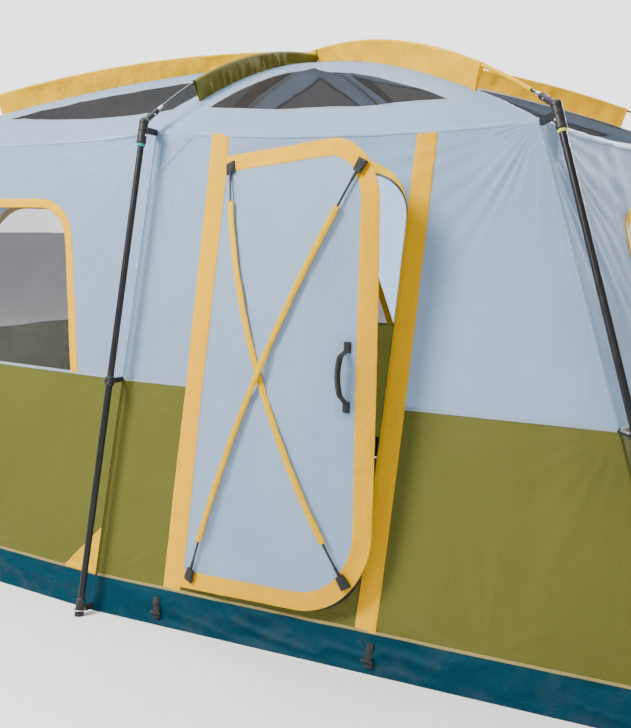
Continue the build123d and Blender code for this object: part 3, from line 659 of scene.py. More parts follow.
def netting(name, colour, cover, pitch=0.0026):
    """Insect mesh: round threads with open holes between them, and a slight haze."""
    m = Shader(name)
    split = m.tree.nodes.new("ShaderNodeSeparateXYZ")
    m.tree.links.new(m.uv, split.inputs[0])
    threads = [
        m.math("ABSOLUTE", m.math("SINE", m.math("MULTIPLY", split.outputs[k], pi / pitch))) for k in (0, 1)
    ]
    open_hole = m.math("MULTIPLY", m.spread(threads[0], 0.25, 0.55), m.spread(threads[1], 0.25, 0.55))
    uneven = m.spread(m.noise(m.place, 3.0, 3.0), 0.3, 0.7, -0.05, 0.05)
    hide = m.math("ADD", m.spread(open_hole, 0.0, 1.0, cover + 0.20, cover - 0.20), uneven)
    shade = m.blend(m.spread(m.noise(m.place, 40.0, 3.0), 0.3, 0.7), tone(colour, 0.8), tone(colour, 1.2))
    normal = m.bump(m.noise(m.place, 14.0, 4.0), 0.004, 0.6)
    thread = m.node("BsdfPrincipled", {
        "Base Color": shade, "Roughness": 0.95, "Normal": normal, "Specular IOR Level": 0.0,
    })
    return m.close(m.node("MixShader", {0: hide, 1: m.node("BsdfTransparent", {}), 2: thread}))


def webbing(name, colour, pitch=0.0032):
    """Flat nylon webbing: a herringbone rib across its width, fuzz and worn edges."""
    m = Shader(name)
    along, across = weave_height(m, pitch)[1:]
    slant = m.math("ADD", along, m.math("ABSOLUTE", across))
    rib = m.math("SINE", m.math("MULTIPLY", slant, 2 * pi / pitch))
    fuzz = m.noise(m.place, 420.0, 4.0)
    shade = m.blend(m.spread(rib, -1.0, 1.0, 0.0, 0.6), tone(colour, 0.7), tone(colour, 1.7))
    shade = m.blend(m.spread(fuzz, 0.5, 0.8, 0.0, 0.4), shade, tone(colour, 3.0))
    normal = m.bump(fuzz, 0.0003, 0.4, m.bump(rib, 0.0006, 0.9))
    return m.close(m.node("BsdfPrincipled", {
        "Base Color": shade, "Roughness": 0.74, "Normal": normal,
        "Sheen Weight": 0.08, "Sheen Roughness": 0.5,
    }))


def coated_steel(name, colour):
    """Powder-coated tube: fine orange peel, handling marks, and rubbed bands."""
    m = Shader(name)
    peel = m.noise(m.place, 650.0, 2.0)
    rubs = m.noise(m.scaled(m.place, (60.0, 60.0, 6.0)), 1.0, 5.0, 0.5)
    shade = m.blend(m.spread(rubs, 0.55, 0.8, 0.0, 0.5), colour, tone(colour, 2.6))
    rough = m.spread(rubs, 0.3, 0.75, 0.30, 0.50)
    return m.close(m.node("BsdfPrincipled", {
        "Base Color": shade, "Roughness": rough, "Normal": m.bump(peel, 0.00025, 0.5),
        "Specular IOR Level": 0.40, "Coat Weight": 0.08, "Coat Roughness": 0.3,
    }))


def glassfibre(name, colour):
    """Pulled glass fibre: long fine streaks under a smooth resin."""
    m = Shader(name)
    streak = m.noise(m.scaled(m.place, (900.0, 900.0, 900.0)), 1.0, 3.0, 0.2)
    broad = m.noise(m.place, 18.0, 3.0)
    shade = m.blend(m.spread(streak, 0.4, 0.7, 0.0, 0.5), colour, tone(colour, 2.0))
    rough = m.spread(broad, 0.3, 0.7, 0.26, 0.40)
    return m.close(m.node("BsdfPrincipled", {
        "Base Color": shade, "Roughness": rough, "Normal": m.bump(streak, 0.0001, 0.5), "Coat Weight": 0.3,
        "Coat Roughness": 0.15,
    }))


def moulded(name, colour, roughness=0.5):
    """Moulded nylon: spark-eroded grain, faint flow marks and scuffs."""
    m = Shader(name)
    grain = m.node("TexVoronoi", {"Vector": m.place, "Scale": 900.0})
    flow = m.noise(m.place, 55.0, 5.0, 1.0)
    scuff = m.spread(m.noise(m.place, 160.0, 6.0, 2.0), 0.58, 0.75, 0.0, 0.45)
    shade = m.blend(m.spread(flow, 0.3, 0.7), tone(colour, 0.85), tone(colour, 1.2))
    shade = m.blend(scuff, shade, tone(colour, 2.4))
    rough = m.spread(flow, 0.3, 0.7, roughness - 0.07, roughness + 0.10)
    normal = m.bump(grain, 0.00022, 0.6, m.bump(flow, 0.0003, 0.3))
    return m.close(m.node("BsdfPrincipled", {"Base Color": shade, "Roughness": rough, "Normal": normal}))


def plated(name):
    """Bright plated wire with drawn lines and dull spots."""
    m = Shader(name)
    drawn = m.noise(m.scaled(m.place, (500.0, 500.0, 90.0)), 1.0, 4.0)
    spots = m.spread(m.noise(m.place, 220.0, 5.0), 0.55, 0.7)
    shade = m.blend(spots, (0.62, 0.62, 0.63), (0.36, 0.34, 0.32))
    return m.close(m.node("BsdfPrincipled", {
        "Base Color": shade, "Metallic": 1.0, "Roughness": m.spread(drawn, 0.3, 0.7, 0.2, 0.42),
        "Normal": m.bump(drawn, 0.0001, 0.5),
    }))


GREY, OLIVE, TEAL = (0.360, 0.495, 0.680), (0.122, 0.124, 0.024), (0.000, 0.034, 0.058)
YELLOW, DARK_OLIVE, BLACK = (0.86, 0.44, 0.000), (0.175, 0.165, 0.022), (0.007, 0.007, 0.008)
TAPE_GREY, NET, SLEEVE_YELLOW = (0.26, 0.33, 0.40), (0.024, 0.024, 0.026), (0.95, 0.56, 0.006)

grey_cloth = cloth("grey_polyester", GREY, thin=0.40)
olive_cloth = cloth("olive_polyester", OLIVE, thin=0.14)
tub_cloth = cloth("tub_oxford", TEAL, roughness=0.46, pitch=0.0016, thin=0.0, crinkle=1.6)
trim_cloth = cloth("yellow_trim", YELLOW, thin=0.10, stitches=(-0.0155, 0.0155), crinkle=1.2)
border_cloth = cloth("yellow_border", YELLOW, thin=0.12, stitches=(-0.026, 0.026), crinkle=1.3)
strip_cloth = cloth("yellow_strip", YELLOW, thin=0.10, stitches=(-0.0315, 0.0315), crinkle=1.2)
sleeve_cloth = cloth("yellow_sleeve", SLEEVE_YELLOW, thin=0.25, crinkle=1.6)
dark_sleeve_cloth = cloth("olive_sleeve", DARK_OLIVE, thin=0.14, crinkle=1.6)
grey_seam = cloth("grey_seam", tone(GREY, 0.80), thin=0.0, stitches=(-0.0045, 0.0045))
olive_seam = cloth("olive_seam", tone(OLIVE, 0.85), thin=0.0, stitches=(-0.0045, 0.0045))
tape_cloth = cloth("grey_tape", TAPE_GREY, thin=0.0, stitches=(-0.0035, 0.0035))
edge_tape = cloth("tub_edge_tape", (0.30, 0.24, 0.085), thin=0.0, stitches=(-0.003, 0.003))
patch_cloth = cloth("grey_patch", tone(GREY, 0.95), thin=0.34)
roof_net = netting("roof_netting", NET, 0.94)
window_net = netting("window_netting", tone(NET, 4.0), 0.36)
black_webbing = webbing("black_webbing", BLACK)
leg_paint = coated_steel("leg_powder_coat", (0.006, 0.006, 0.008))
pole_resin = glassfibre("pole_glass_fibre", (0.008, 0.008, 0.010))
black_nylon = moulded("black_nylon", (0.008, 0.008, 0.010))
zip_nylon = moulded("zip_nylon", (0.006, 0.006, 0.007), 0.42)
bright_wire = plated("plated_wire")
marker_nylon = {
    "teal": moulded("teal_marker", (0.015, 0.26, 0.22)),
    "green": moulded("green_marker", (0.48, 0.56, 0.06)),
}


# ---------------------------------------------------------------- walls, floor and tub
def window_line(wall, grow, low=SEAM, counts=(26, 34, 26)):
    """Line round a window from its left foot over its head to its right foot."""
    sheet = walls[wall]
    foot_y, head_y = sheet.slope(low), sheet.slope(WINDOW_TOP) + grow
    middle = float(sheet.edge(0.5, SEAM)[0])
    spread = WINDOW_FOOT + grow, WINDOW_HEAD + grow
    corners = [(middle - spread[0], foot_y), (middle - spread[1], head_y), (middle + spread[1], head_y),
               (middle + spread[0], foot_y)]
    return rounded(corners, WINDOW_CORNER + grow, counts)


def window_wall(wall):
    """Upper cloth of a wall round its window, the screen in it, and the sewn trim."""
    sheet = walls[wall]
    hole = window_line(wall, 0.0, SEAM, (44, 56, 44))
    seam = sheet.edge(np.array([0.0, 0.0, 1.0, 1.0]), np.array([SEAM, EAVE, EAVE, SEAM]))
    rim = rounded(list(seam), 0.0, (44, 56, 44))
    flat = between(hole, rim, 40)
    upper = build(f"{wall}_upper_cloth", [laid(sheet, flat)], grey_cloth, node=f"wall_{wall}_upper")

    left, right = hole[:72], hole[:71:-1]
    left, right = resample(left, 73), resample(right, 73)
    flat = np.moveaxis(between(left, right, 60), 0, 1)
    belly = 0.006 * np.sin(np.linspace(0, pi, 61))[None] * np.sin(np.linspace(0, pi, 73))[:, None]
    screen = build(f"{wall}_window_screen", [laid(sheet, flat, -belly)], window_net, node="window_screens")

    middle = window_line(wall, (TRIM_OUT - TRIM_LAP) / 2)
    faces = [band(sheet, middle, TRIM_OUT + TRIM_LAP, waves=0.0010),
             band(sheet, middle, TRIM_OUT + TRIM_LAP, -0.0006, -0.0014, 0.0004)]
    trim = build(f"{wall}_window_trim", faces, trim_cloth, node="window_trims")


def plain_walls():
    """Lower cloth of the five window walls, and everything round their windows."""
    for wall in WINDOW_WALLS:
        flat = walls[wall].edge(np.linspace(0.0, 1.0, 151)[None], np.linspace(TUB, SEAM, 57)[:, None])
        obj = build(f"{wall}_lower_cloth", [laid(walls[wall], flat)], olive_cloth, node=f"wall_{wall}_lower")
        window_wall(wall)


def door_wall_x(edge, height):
    """x of an upright edge of the door wall; the edges on the hinge side lean."""
    lean = STRIP_LEAN if edge < (STRIP_LEFT + STRIP_RIGHT) / 2 else 0.0
    return edge + lean * (1 - np.asarray(height, float) / EAVE)


LEFT_STRIP = (STRIP_LEFT - STRIP_W / 2, STRIP_LEFT + STRIP_W / 2)
RIGHT_STRIP = (STRIP_RIGHT - STRIP_W / 2, STRIP_RIGHT + STRIP_W / 2)


def door_wall_flat(left, right, heights, columns):
    """Flat grid of a piece of the door wall; left and right are an edge's x, or None for a corner."""
    sheet, rows = walls["front_right"], []
    for height in heights:
        ends = [sheet.edge(share, height) if x is None else sheet.upright(door_wall_x(x, height), height)
                for x, share in ((left, 0.0), (right, 1.0))]
        rows.append(ends[0] + (ends[1] - ends[0]) * np.linspace(0, 1, columns + 1)[:, None])
    return np.array(rows)


def door_wall():
    """Cloth of the door wall: plain panels beside two strips, and the sill."""
    sheet = walls["front_right"]
    parts = [
        ("door_wall_left_lower", None, LEFT_STRIP[0], TUB, SEAM, 28, olive_cloth),
        ("door_wall_left_upper", None, LEFT_STRIP[0], SEAM, EAVE, 28, grey_cloth),
        ("door_wall_right_lower", RIGHT_STRIP[1], None, TUB, SEAM, 76, olive_cloth),
        ("door_wall_right_upper", RIGHT_STRIP[1], None, SEAM, EAVE, 76, grey_cloth),
        ("door_sill", LEFT_STRIP[1], RIGHT_STRIP[0], TUB, SILL, 50, olive_cloth),
    ]
    for name, left, right, low, high, columns, finish in parts:
        rows = max(4, int((high - low) / 0.012))
        flat = door_wall_flat(left, right, np.linspace(low, high, rows), columns)
        obj = build(name + "_cloth", [laid(sheet, flat)], finish, node=name)
    for name, strip in (("door_strip_left", LEFT_STRIP), ("door_strip_right", RIGHT_STRIP)):
        heights = np.linspace(TUB - 0.002, EAVE, 130)
        line = sheet.upright(door_wall_x(sum(strip) / 2, heights), heights)
        obj = build(name + "_cloth", [band(sheet, line, STRIP_W + 0.004, waves=0.0012)], strip_cloth,
                    node=name)


def door_sill_corner():
    """Cloth that rounds the doorway's lower corner away from the hinge, and the tape on its edge."""
    sheet = walls["front_right"]
    turn = np.linspace(0, pi / 2, 29)
    x = door_wall_x(RIGHT_STRIP[0], SILL) - SILL_CORNER * (1 - np.sin(turn))
    heights = SILL + SILL_CORNER * (1 - np.cos(turn))
    arc = sheet.upright(x, heights)
    corners = [arc[0] - [0.0, SILL_LAP], [arc[-1, 0] + SILL_LAP, arc[0, 1] - SILL_LAP],
               arc[-1] + [SILL_LAP, 0.0]]
    flat = between(arc, rounded(corners, 0.0, (14, 14)), 16)
    obj = build("door_sill_corner_cloth", [laid(sheet, flat, -0.0012)], olive_cloth)
    hem = build("door_sill_corner_hem", [band(sheet, arc, 0.010, 0.0008, 0.0012, 0.0004)], zip_nylon)


def doorway_line(top, radius, counts, foot=None):
    """Doorway edge from the hinge strip along its head and down its round corner."""
    sheet = walls["front_right"]
    foot = top - radius if foot is None else foot
    spots = [(LEFT_STRIP[1], top), (RIGHT_STRIP[0], top), (RIGHT_STRIP[0], foot)]
    return rounded([sheet.upright(door_wall_x(x, z), z) for x, z in spots], radius, counts)


def door_header():
    """Cloth over the doorway, and the trim sewn round the opening's head."""
    sheet = walls["front_right"]
    low = doorway_line(TRIM_HEAD, TRIM_CORNER, (46, 16), TRIM_HEAD - TRIM_CORNER - 0.001)
    ends = [sheet.upright(x, EAVE) for x in (LEFT_STRIP[1], RIGHT_STRIP[0])]
    high = rounded([ends[0], ends[1], sheet.upright(RIGHT_STRIP[0], TRIM_HEAD - TRIM_CORNER)], 0.0, (46, 16))
    flat = between(low, high, 16)
    obj = build("door_header_cloth", [laid(sheet, flat)], grey_cloth, node="door_header")
    foot = DOOR_HEAD - DOOR_CORNER
    flat = between(doorway_line(DOOR_HEAD, DOOR_CORNER, (40, 14), foot - 0.001),
                   doorway_line(TRIM_HEAD + 0.002, TRIM_CORNER, (40, 14), foot - 0.001), 6)
    trim = build("door_arch_trim_cloth", [laid(sheet, flat, 0.0012)], sleeve_cloth, node="door_arch_trim")
    line = doorway_line((DOOR_HEAD + TRIM_HEAD) / 2, (DOOR_CORNER + TRIM_CORNER) / 2, (40, 14), foot)


def tub_band():
    """The tub's upstand, one sheet round all six walls, creased where it was packed."""
    parts, total = [], 0.0
    for sheet in walls.values():
        flat = sheet.edge(np.linspace(0, 1, 171)[None], np.linspace(0.003, TUB, 17)[:, None])
        parts.append((sheet.at(flat[..., 0], flat[..., 1]), flat + np.array([total, 0])))
        total += sheet.width
    obj = build("tub_upstand_cloth", parts, tub_cloth, node="tub_band")
    mean = total - sum(s.lean_a - s.lean_b for s in walls.values()) * walls["left"].slope(TUB) / 2


def floor_sheet():
    """Floor cloth, lying flat with shallow packing creases; its front and back middles stand out."""
    t = np.linspace(-1, 1, 141)[None]
    x = BASE_X * t
    half = BASE_MID + (BASE_Y - BASE_MID) * np.abs(t) - 0.004
    y = np.linspace(-1, 1, 101)[:, None] * half
    x = x + 0 * y
    grid_crease = sum(np.exp(-((x - k) / 0.03)**2) for k in (-1.26, -0.42, 0.42, 1.26))
    grid_crease = grid_crease + sum(np.exp(-((y - k) / 0.03)**2) for k in (-0.75, 0.0, 0.75))
    height = 0.0012 + 0.0020 * grid_crease + 0.0012 * (1 + noise(x / 0.3, y / 0.3, 60))
    height = height * ease((1 - np.abs(y) / half) / 0.05) * ease((1 - np.abs(t)) / 0.05) + 0.001
    flat = np.stack([x, y], -1)
    obj = build("floor_sheet_cloth", [(np.stack([x, y, height], -1), flat)], tub_cloth, node="floor_sheet")


# ---------------------------------------------------------------- seams and patches
def seams():
    """Felled seams at the corners and eaves, tape on the colour seam, and the tub's edge tape."""
    grey, olive, tape, edge = [], [], [], []
    for index, name in enumerate(RING):
        before, after = walls[list(WALLS)[index - 1]], walls[list(WALLS)[index]]
        out, across = unit(before.n + after.n), unit(after.ex + before.ex)
        for low, high, group in ((SEAM, EAVE, grey), (TUB, SEAM, olive)):
            heights = np.linspace(low, high, 60)
            line = corner(name, heights) + out * 0.0022
            fold = np.broadcast_to(out, line.shape)
            flat = np.broadcast_to(across, line.shape)
            group.append(ribbon(line, flat, fold, 0.013, 0.0022, 0.0005, 0.0006))
            group.append(ribbon(line + out * 0.003, fold, flat, 0.008, 0.0014))
    for name, sheet in walls.items():
        u = np.linspace(0.002, 0.998, 150)
        top = sheet.edge(u, EAVE - 0.004)
        grey.append(band(sheet, top, 0.014, 0.0012, 0.0018, 0.0006))
        low = sheet.edge(u, TUB)
        edge.append(band(sheet, low, 0.010, 0.0010, 0.0014, 0.0005))
        if name == "front_right":
            spans = [(0.002, LEFT_STRIP[0]), (RIGHT_STRIP[1], float(corner("front_right", SEAM)[0]) - 0.002)]
            for a, b in spans:
                ends = [door_wall_x(v, SEAM) if v in LEFT_STRIP + RIGHT_STRIP else v for v in (a, b)]
                xs = np.linspace(*ends, 90)
                tape.append(band(sheet, sheet.upright(xs, SEAM), 0.011, 0.0008, 0.0012, 0.0005))
        else:
            tape.append(band(sheet, sheet.edge(u, SEAM), 0.011, 0.0008, 0.0012, 0.0005))
    build("seams_grey", grey, grey_seam)
    build("seams_olive", olive, olive_seam)
    build("colour_seam_tape", tape, tape_cloth)
    build("tub_edge_tape", edge, edge_tape)


PATCH_ALONG, PATCH_DOWN, ROOF_PATCH = 0.185, 0.215, 0.230


def corner_patches():
    """Second layer of cloth over each hub's corner: a kite across both walls and up the roof."""
    parts = []
    for name in RING:
        for wall, (a, b) in WALLS.items():
            if name not in (a, b):
                continue
            sheet, roof, start = walls[wall], roofs[wall], name == a
            share = PATCH_ALONG / (np.linalg.norm(corner(b, EAVE) - corner(a, EAVE)))
            here, there = (0.0, share) if start else (1.0, 1.0 - share)
            top, side = sheet.edge(here, EAVE), sheet.edge(there, EAVE)
            low = sheet.edge(here, EAVE - PATCH_DOWN)
            t = np.linspace(0, 1, 41)[:, None]
            bow = np.sin(t * pi) * 0.010
            outer = low + (side - low) * t + unit(top - (low + side) / 2) * bow
            flat = between(outer, np.repeat(top[None], 41, 0), 30)
            parts.append(laid(sheet, flat, 0.0024))
            if wall in END_WALLS:
                continue
            x_corner = roof.x_a if start else roof.x_b
            x_side = roof.x_a + (roof.x_b - roof.x_a) * there
            corner_flat = np.array([x_corner, roof.reach * 0.999])
            side_flat = np.array([x_side, roof.reach * 0.999])
            up_flat = corner_flat * (1 - ROOF_PATCH / roof.reach * 0.8)
            outer = side_flat + (up_flat - side_flat) * t
            flat = between(outer, np.repeat(corner_flat[None], 41, 0), 30)
            parts.append(laid(roof, flat, 0.0026))
    build("corner_patches", parts, patch_cloth)


PORT_UP, PORT_ALONG, PORT_EDGE = 0.160, 0.150, 0.004


def cable_port():
    """Yellow three-cornered patch with a hemmed edge over the cable port."""
    sheet = walls["front_left"]
    y, top = sheet.slope(TUB + 0.004), sheet.slope(TUB + PORT_UP)
    right = lambda v: sheet.width + sheet.lean_b * v - PORT_EDGE
    a, b, c = (right(y), y), (right(top), top), (right(y) - PORT_ALONG, y)
    t = np.linspace(0, 1, 21)[:, None]
    outer = np.array(b) + (np.array(c) - np.array(b)) * t
    flat = between(outer, np.repeat(np.array([a]), 21, 0), 14)
    parts = [laid(sheet, flat, 0.0022)]
    sides = [resample(line, 24) for line in ([b, c], [c, a], [a, b])]
    hem = [band(sheet, line, 0.012, 0.0024, 0.0014, 0.0004) for line in sides]
    obj = build("cable_port_patch_cloth", parts, sleeve_cloth, node="cable_port_patch")
    hems = build("cable_port_hem", hem, trim_cloth)


# ---------------------------------------------------------------- roof
def roof_sector(name):
    """Border cloth of one roof sector, the netting in it, and the tape between them."""
    roof = roofs[name]
    foot_share, margin = (END_MESH_FOOT, END_MESH_MARGIN) if name in END_WALLS else (MESH_FOOT, MESH_MARGIN)
    share = foot_share + margin / roof.reach
    rim = np.array([(0, 0), (roof.x_a, roof.reach), (roof.x_b, roof.reach), (0, 0)])
    big = [np.array((roof.x_a, roof.reach)) * share, np.array((roof.x_b, roof.reach)) * share]
    normal_a, normal_b = unit([big[0][1], -big[0][0]]), unit([-big[1][1], big[1][0]])
    cross = lambda p, d, q, e: p + d * np.linalg.solve(np.array([d, -e]).T, q - p)[0]
    side_a, side_b = (normal_a * margin, unit(big[0])), (normal_b * margin, unit(big[1]))
    foot = (np.array([0, big[0][1] - margin]), np.array([1.0, 0.0]))
    apex, low_a, low_b = cross(*side_a, *side_b), cross(*side_a, *foot), cross(*side_b, *foot)
    counts = (60, 70, 60)
    outer = rounded(list(rim), 0.0, counts)
    inner = rounded([apex, low_a, low_b, apex], 0.0, counts)
    flat = between(inner, outer, 12)
    border = build(f"roof_{name}_border_cloth", [laid(roof, flat)], grey_cloth, node=f"roof_{name}_border")
    tape = build(f"roof_{name}_net_tape", [band(roof, inner, 0.013, 0.0008, 0.0014, 0.0005)], tape_cloth)
    rows = np.linspace(0.002, 1, 70)[:, None, None]
    columns = np.linspace(0, 1, 71)[None, :, None]
    flat = apex + rows * (low_a + (low_b - low_a) * columns - apex)
    net = build(f"roof_{name}_net", [laid(roof, flat)], roof_net, node=f"roof_{name}_mesh")


def roof_sleeve(name, finish, tails):
    """Pole sleeve: cloth folded over the pole and sewn down to the roof along both halves of the arch."""
    arch, parts, hems = arches[name], [], []
    drops = np.linspace(0, 1, 11)
    for side in (-1, 1):
        run = np.linspace(SLEEVE_START, arch.span * SLEEVE_END, 120)
        spine, up = arch.point(side * run), arch.up(side * run)
        depth = (spine[:, 2] - roof_height(run / arch.eave_radius)) / up[:, 2] - 0.001
        lateral = unit(np.cross(UP, arch.out))
        half = SLEEVE_R * (1 - drops)**1.3 * 0.8 + 0.0016
        angle = np.linspace(pi, 0, 13)[1:-1]
        cross = np.r_[-half[::-1], np.cos(angle) * SLEEVE_R, half]
        over_pole = np.tile(-np.sin(angle) * SLEEVE_R, (len(run), 1))
        down = np.concatenate([np.outer(depth, drops[::-1]), over_pole, np.outer(depth, drops)], 1)
        loose = np.clip(down / depth[:, None], 0, 1)
        along = run[:, None]
        sway = 0.0070 * noise(along / 0.055 + 2 * down, down / 0.25, 70 + side) * np.sin(pi * loose)**0.8
        sway = sway + 0.0036 * noise(along / 0.022 + down * 9, down / 0.09, 75 + side) * ease(loose * 3)
        bulge = 1 + 0.10 * noise(along / 0.035, cross[None] * 80, 80 + side)
        sideways = lateral * (cross[None] * bulge + sway)[..., None]
        points = spine[:, None] + sideways - up[:, None] * down[..., None]
        uv = pairs(run[:, None], np.r_[-np.cumsum(np.ones(11))[::-1], angle, drops][None])
        uv[..., 1] = np.cumsum(np.r_[0, np.hypot(np.diff(cross), np.diff(down.mean(0)))])[None]
        parts.append((points, uv))
        for end in (0, -1):
            hems.append(tube(points[end], 0.0016, 6))
        if tails:
            run = np.linspace(arch.span * SLEEVE_END - 0.02, arch.span * TAIL_END, 40)
            hems.append(tube(arch.point(side * run), TAIL_R + 0.0012 * noise(run / 0.03, run, 90 + side), 12))
    obj = build(f"roof_sleeve_{name}_cloth", parts, finish, node=f"roof_sleeve_{name}")
    hem = build(f"roof_sleeve_{name}_hems", hems, finish)


# ---------------------------------------------------------------- door leaf
def leaf_line(inset, counts):
    """Line round the leaf's free sides, from the hinge along its foot, up and back along its head."""
    low, high, right = LEAF_FOOT + inset, LEAF_TOP - inset, LEAF_W - inset
    corners = [(HINGE_EDGE, low), (right, low), (right, high), (HINGE_EDGE, high)]
    return rounded(corners, (CORNER_LOW - inset, CORNER_TOP - inset), counts)


def on_door(obj):
    """Gives a piece on the door a mesh of its own."""
    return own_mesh(obj)


def door_panel():
    """The leaf's cloth, in rows that follow its round corners."""
    inset = BORDER - 0.003
    low, high = LEAF_FOOT + inset, LEAF_TOP - inset
    turn_low, turn_top = CORNER_LOW - inset, CORNER_TOP - inset
    bend = 1 - np.cos(np.linspace(0, pi / 2, 24))
    straight = np.linspace(low + turn_low, high - turn_top, 120)[1:-1]
    heights = np.r_[low + turn_low * bend, straight, (high - turn_top * bend)[::-1]]
    cut_low = turn_low - np.sqrt(turn_low**2 - (low + turn_low - heights).clip(0, turn_low)**2)
    cut_top = turn_top - np.sqrt(turn_top**2 - (heights - high + turn_top).clip(0, turn_top)**2)
    right = LEAF_W - inset - cut_low - cut_top
    flat = np.stack([HINGE_EDGE + (right[:, None] - HINGE_EDGE) * np.linspace(0, 1, 91)[None],
                     np.repeat(heights[:, None], 91, 1)], -1)
    obj = build("door_leaf_cloth", [laid(leaf, flat)], grey_cloth, "door", node="door_panel")
    on_door(obj)


def door_border():
    """Stitched border round the leaf's free sides, a little fuller than the panel it holds."""
    line = leaf_line(BORDER / 2, (110, 150, 110))
    obj = build("door_border_cloth", [border_band(line, 0.0020), border_band(line, -0.0014)], border_cloth,
                "door", node="door_border")
    on_door(obj)


def border_band(line, side):
    """One face of the border, puckered along its stitches."""
    run = heading(line)
    across = np.stack([-run[:, 1], run[:, 0]], 1)
    places = np.linspace(-BORDER / 2, BORDER / 2, 13)
    flat = line[:, None] + across[:, None] * places[None, :, None]
    length = distance_along(line)[:, None]
    shut = 1 - np.abs(places[None] / (BORDER / 2))**6
    pucker = 0.0026 * noise(length / 0.06, places[None] / 0.05, 50)
    pucker = pucker + 0.0018 * noise(length / 0.020, places[None] / 0.09, 51)
    points = leaf.at(flat[..., 0], flat[..., 1], side * (0.55 + 0.45 * shut) + pucker * shut)
    return points, pairs(length, places[None])


rods = leaf.rods


def leaf_normal():
    return unit(leaf.place(LEAF_W / 2, 0.5, 0.01) - leaf.place(LEAF_W / 2, 0.5, 0))


def door_rods():
    """Spring rods with crimped ferrules half way and at their ends."""
    for name, line in rods.items():
        ferrules = [capped(line[a:b], ROD_R + 0.0012, 14) for a, b in ((1, 8), (84, 97), (173, 180))]
        obj = build(f"door_rod_{name}_rod", [capped(line, ROD_R, 14)], pole_resin, "door",
                    node=f"door_rod_{name}")
        rings = build(f"door_rod_{name}_ferrules", ferrules, black_nylon, "door")
        on_door(obj)
        on_door(rings)


SLEEVE_HALF, SLEEVE_FLANGE = 0.0075, 0.0125


def door_rod_sleeves():
    """Gathered cloth sleeves round the rods, with a flat sewn edge on each side."""
    parts, hems, normal = [], [], leaf_normal()
    for seed, line in enumerate(rods.values()):
        part = line[int(180 * ROD_SLEEVE_FROM):int(180 * ROD_SLEEVE_TO) + 1]
        part = resample(part, 240)
        run = heading(part)
        across = unit(np.cross(run, normal))
        lift = np.cross(across, run)
        length = distance_along(part)[:, None]
        angle = np.linspace(0, 2 * pi, 29)[None]
        wide = np.abs(np.cos(angle))**2.5
        gather = 1 + 0.10 * noise(length / 0.016, angle * 1.6, 90 + seed)
        gather = gather + 0.08 * noise(length / 0.05, angle, 95 + seed)
        slack = 1 + 0.12 * noise(length / 0.12, length * 0, 99 + seed)
        radial = (SLEEVE_HALF + (SLEEVE_FLANGE - SLEEVE_HALF) * wide * slack) * gather
        high = np.sin(angle) * np.where(np.sin(angle) > 0, 1.0, 0.72)
        points = part[:, None] + across[:, None] * (np.cos(angle) * radial)[..., None]
        points = points + lift[:, None] * (high * (SLEEVE_HALF * (0.55 + 0.45 * gather)))[..., None]
        parts.append((points, pairs(length, angle * 0.008)))
        for end in (0, -1):
            hems.append(tube(points[end], 0.0013, 6))
    obj = build("door_rod_sleeves_cloth", parts, sleeve_cloth, "door", node="door_rod_sleeves")
    hem = build("door_rod_sleeve_hems", hems, trim_cloth, "door")
    on_door(obj)
    on_door(hem)


POCKET_L, POCKET_W, POCKET_T, POCKET_BACK = 0.046, 0.036, 0.013, 0.016


def door_pockets():
    """Folded webbing pockets that hold the rods' ends, bar-tacked to the border."""
    parts, tacks, normal = [], [], leaf_normal()
    for line in rods.values():
        for ends in (line[:40], line[::-1][:40]):
            run = unit(ends[8] - ends[0])
            across = unit(np.cross(run, normal))
            lift = np.cross(across, run)
            start = ends[0] - run * POCKET_BACK
            steps = np.linspace(0, 1, 22)
            swell = np.minimum(1, 1.15 * np.sin(pi * np.clip(steps * 0.86 + 0.10, 0, 1))**0.45)
            swell[-1] = swell[-2] * 0.93
            centre = start + run * (POCKET_L * steps)[:, None]
            angle = np.linspace(0, 2 * pi, 33)[None]
            flat_x = np.sign(np.cos(angle)) * np.abs(np.cos(angle))**0.55
            flat_y = np.sign(np.sin(angle)) * np.abs(np.sin(angle))**0.75
            taper = (1.12 - 0.22 * steps)[:, None]
            points = centre[:, None] + across * (flat_x * POCKET_W / 2 * taper)[..., None]
            points = points + lift * (flat_y * POCKET_T / 2 * swell[:, None])[..., None]
            uv = pairs(steps[:, None] * POCKET_L, angle * 0.011)
            parts.append((points, uv))
            for along in (0.10, 0.80):
                bar = start + run * POCKET_L * along + lift * POCKET_T * (0.34 + 0.14 * along)
                ends_of_bar = np.linspace(-0.42, 0.42, 12)[:, None] * POCKET_W * across
                tacks.append(tube(bar + ends_of_bar, 0.0011, 6))
    obj = build("door_rod_pockets", parts, black_webbing, "door", node="door_pockets")
    bars = build("door_pocket_bartacks", tacks, zip_nylon, "door")
    on_door(obj)
    on_door(bars)


HANDLE_RISE, HANDLE_HALF_W, HANDLE_END = 0.030, 0.010, 0.034


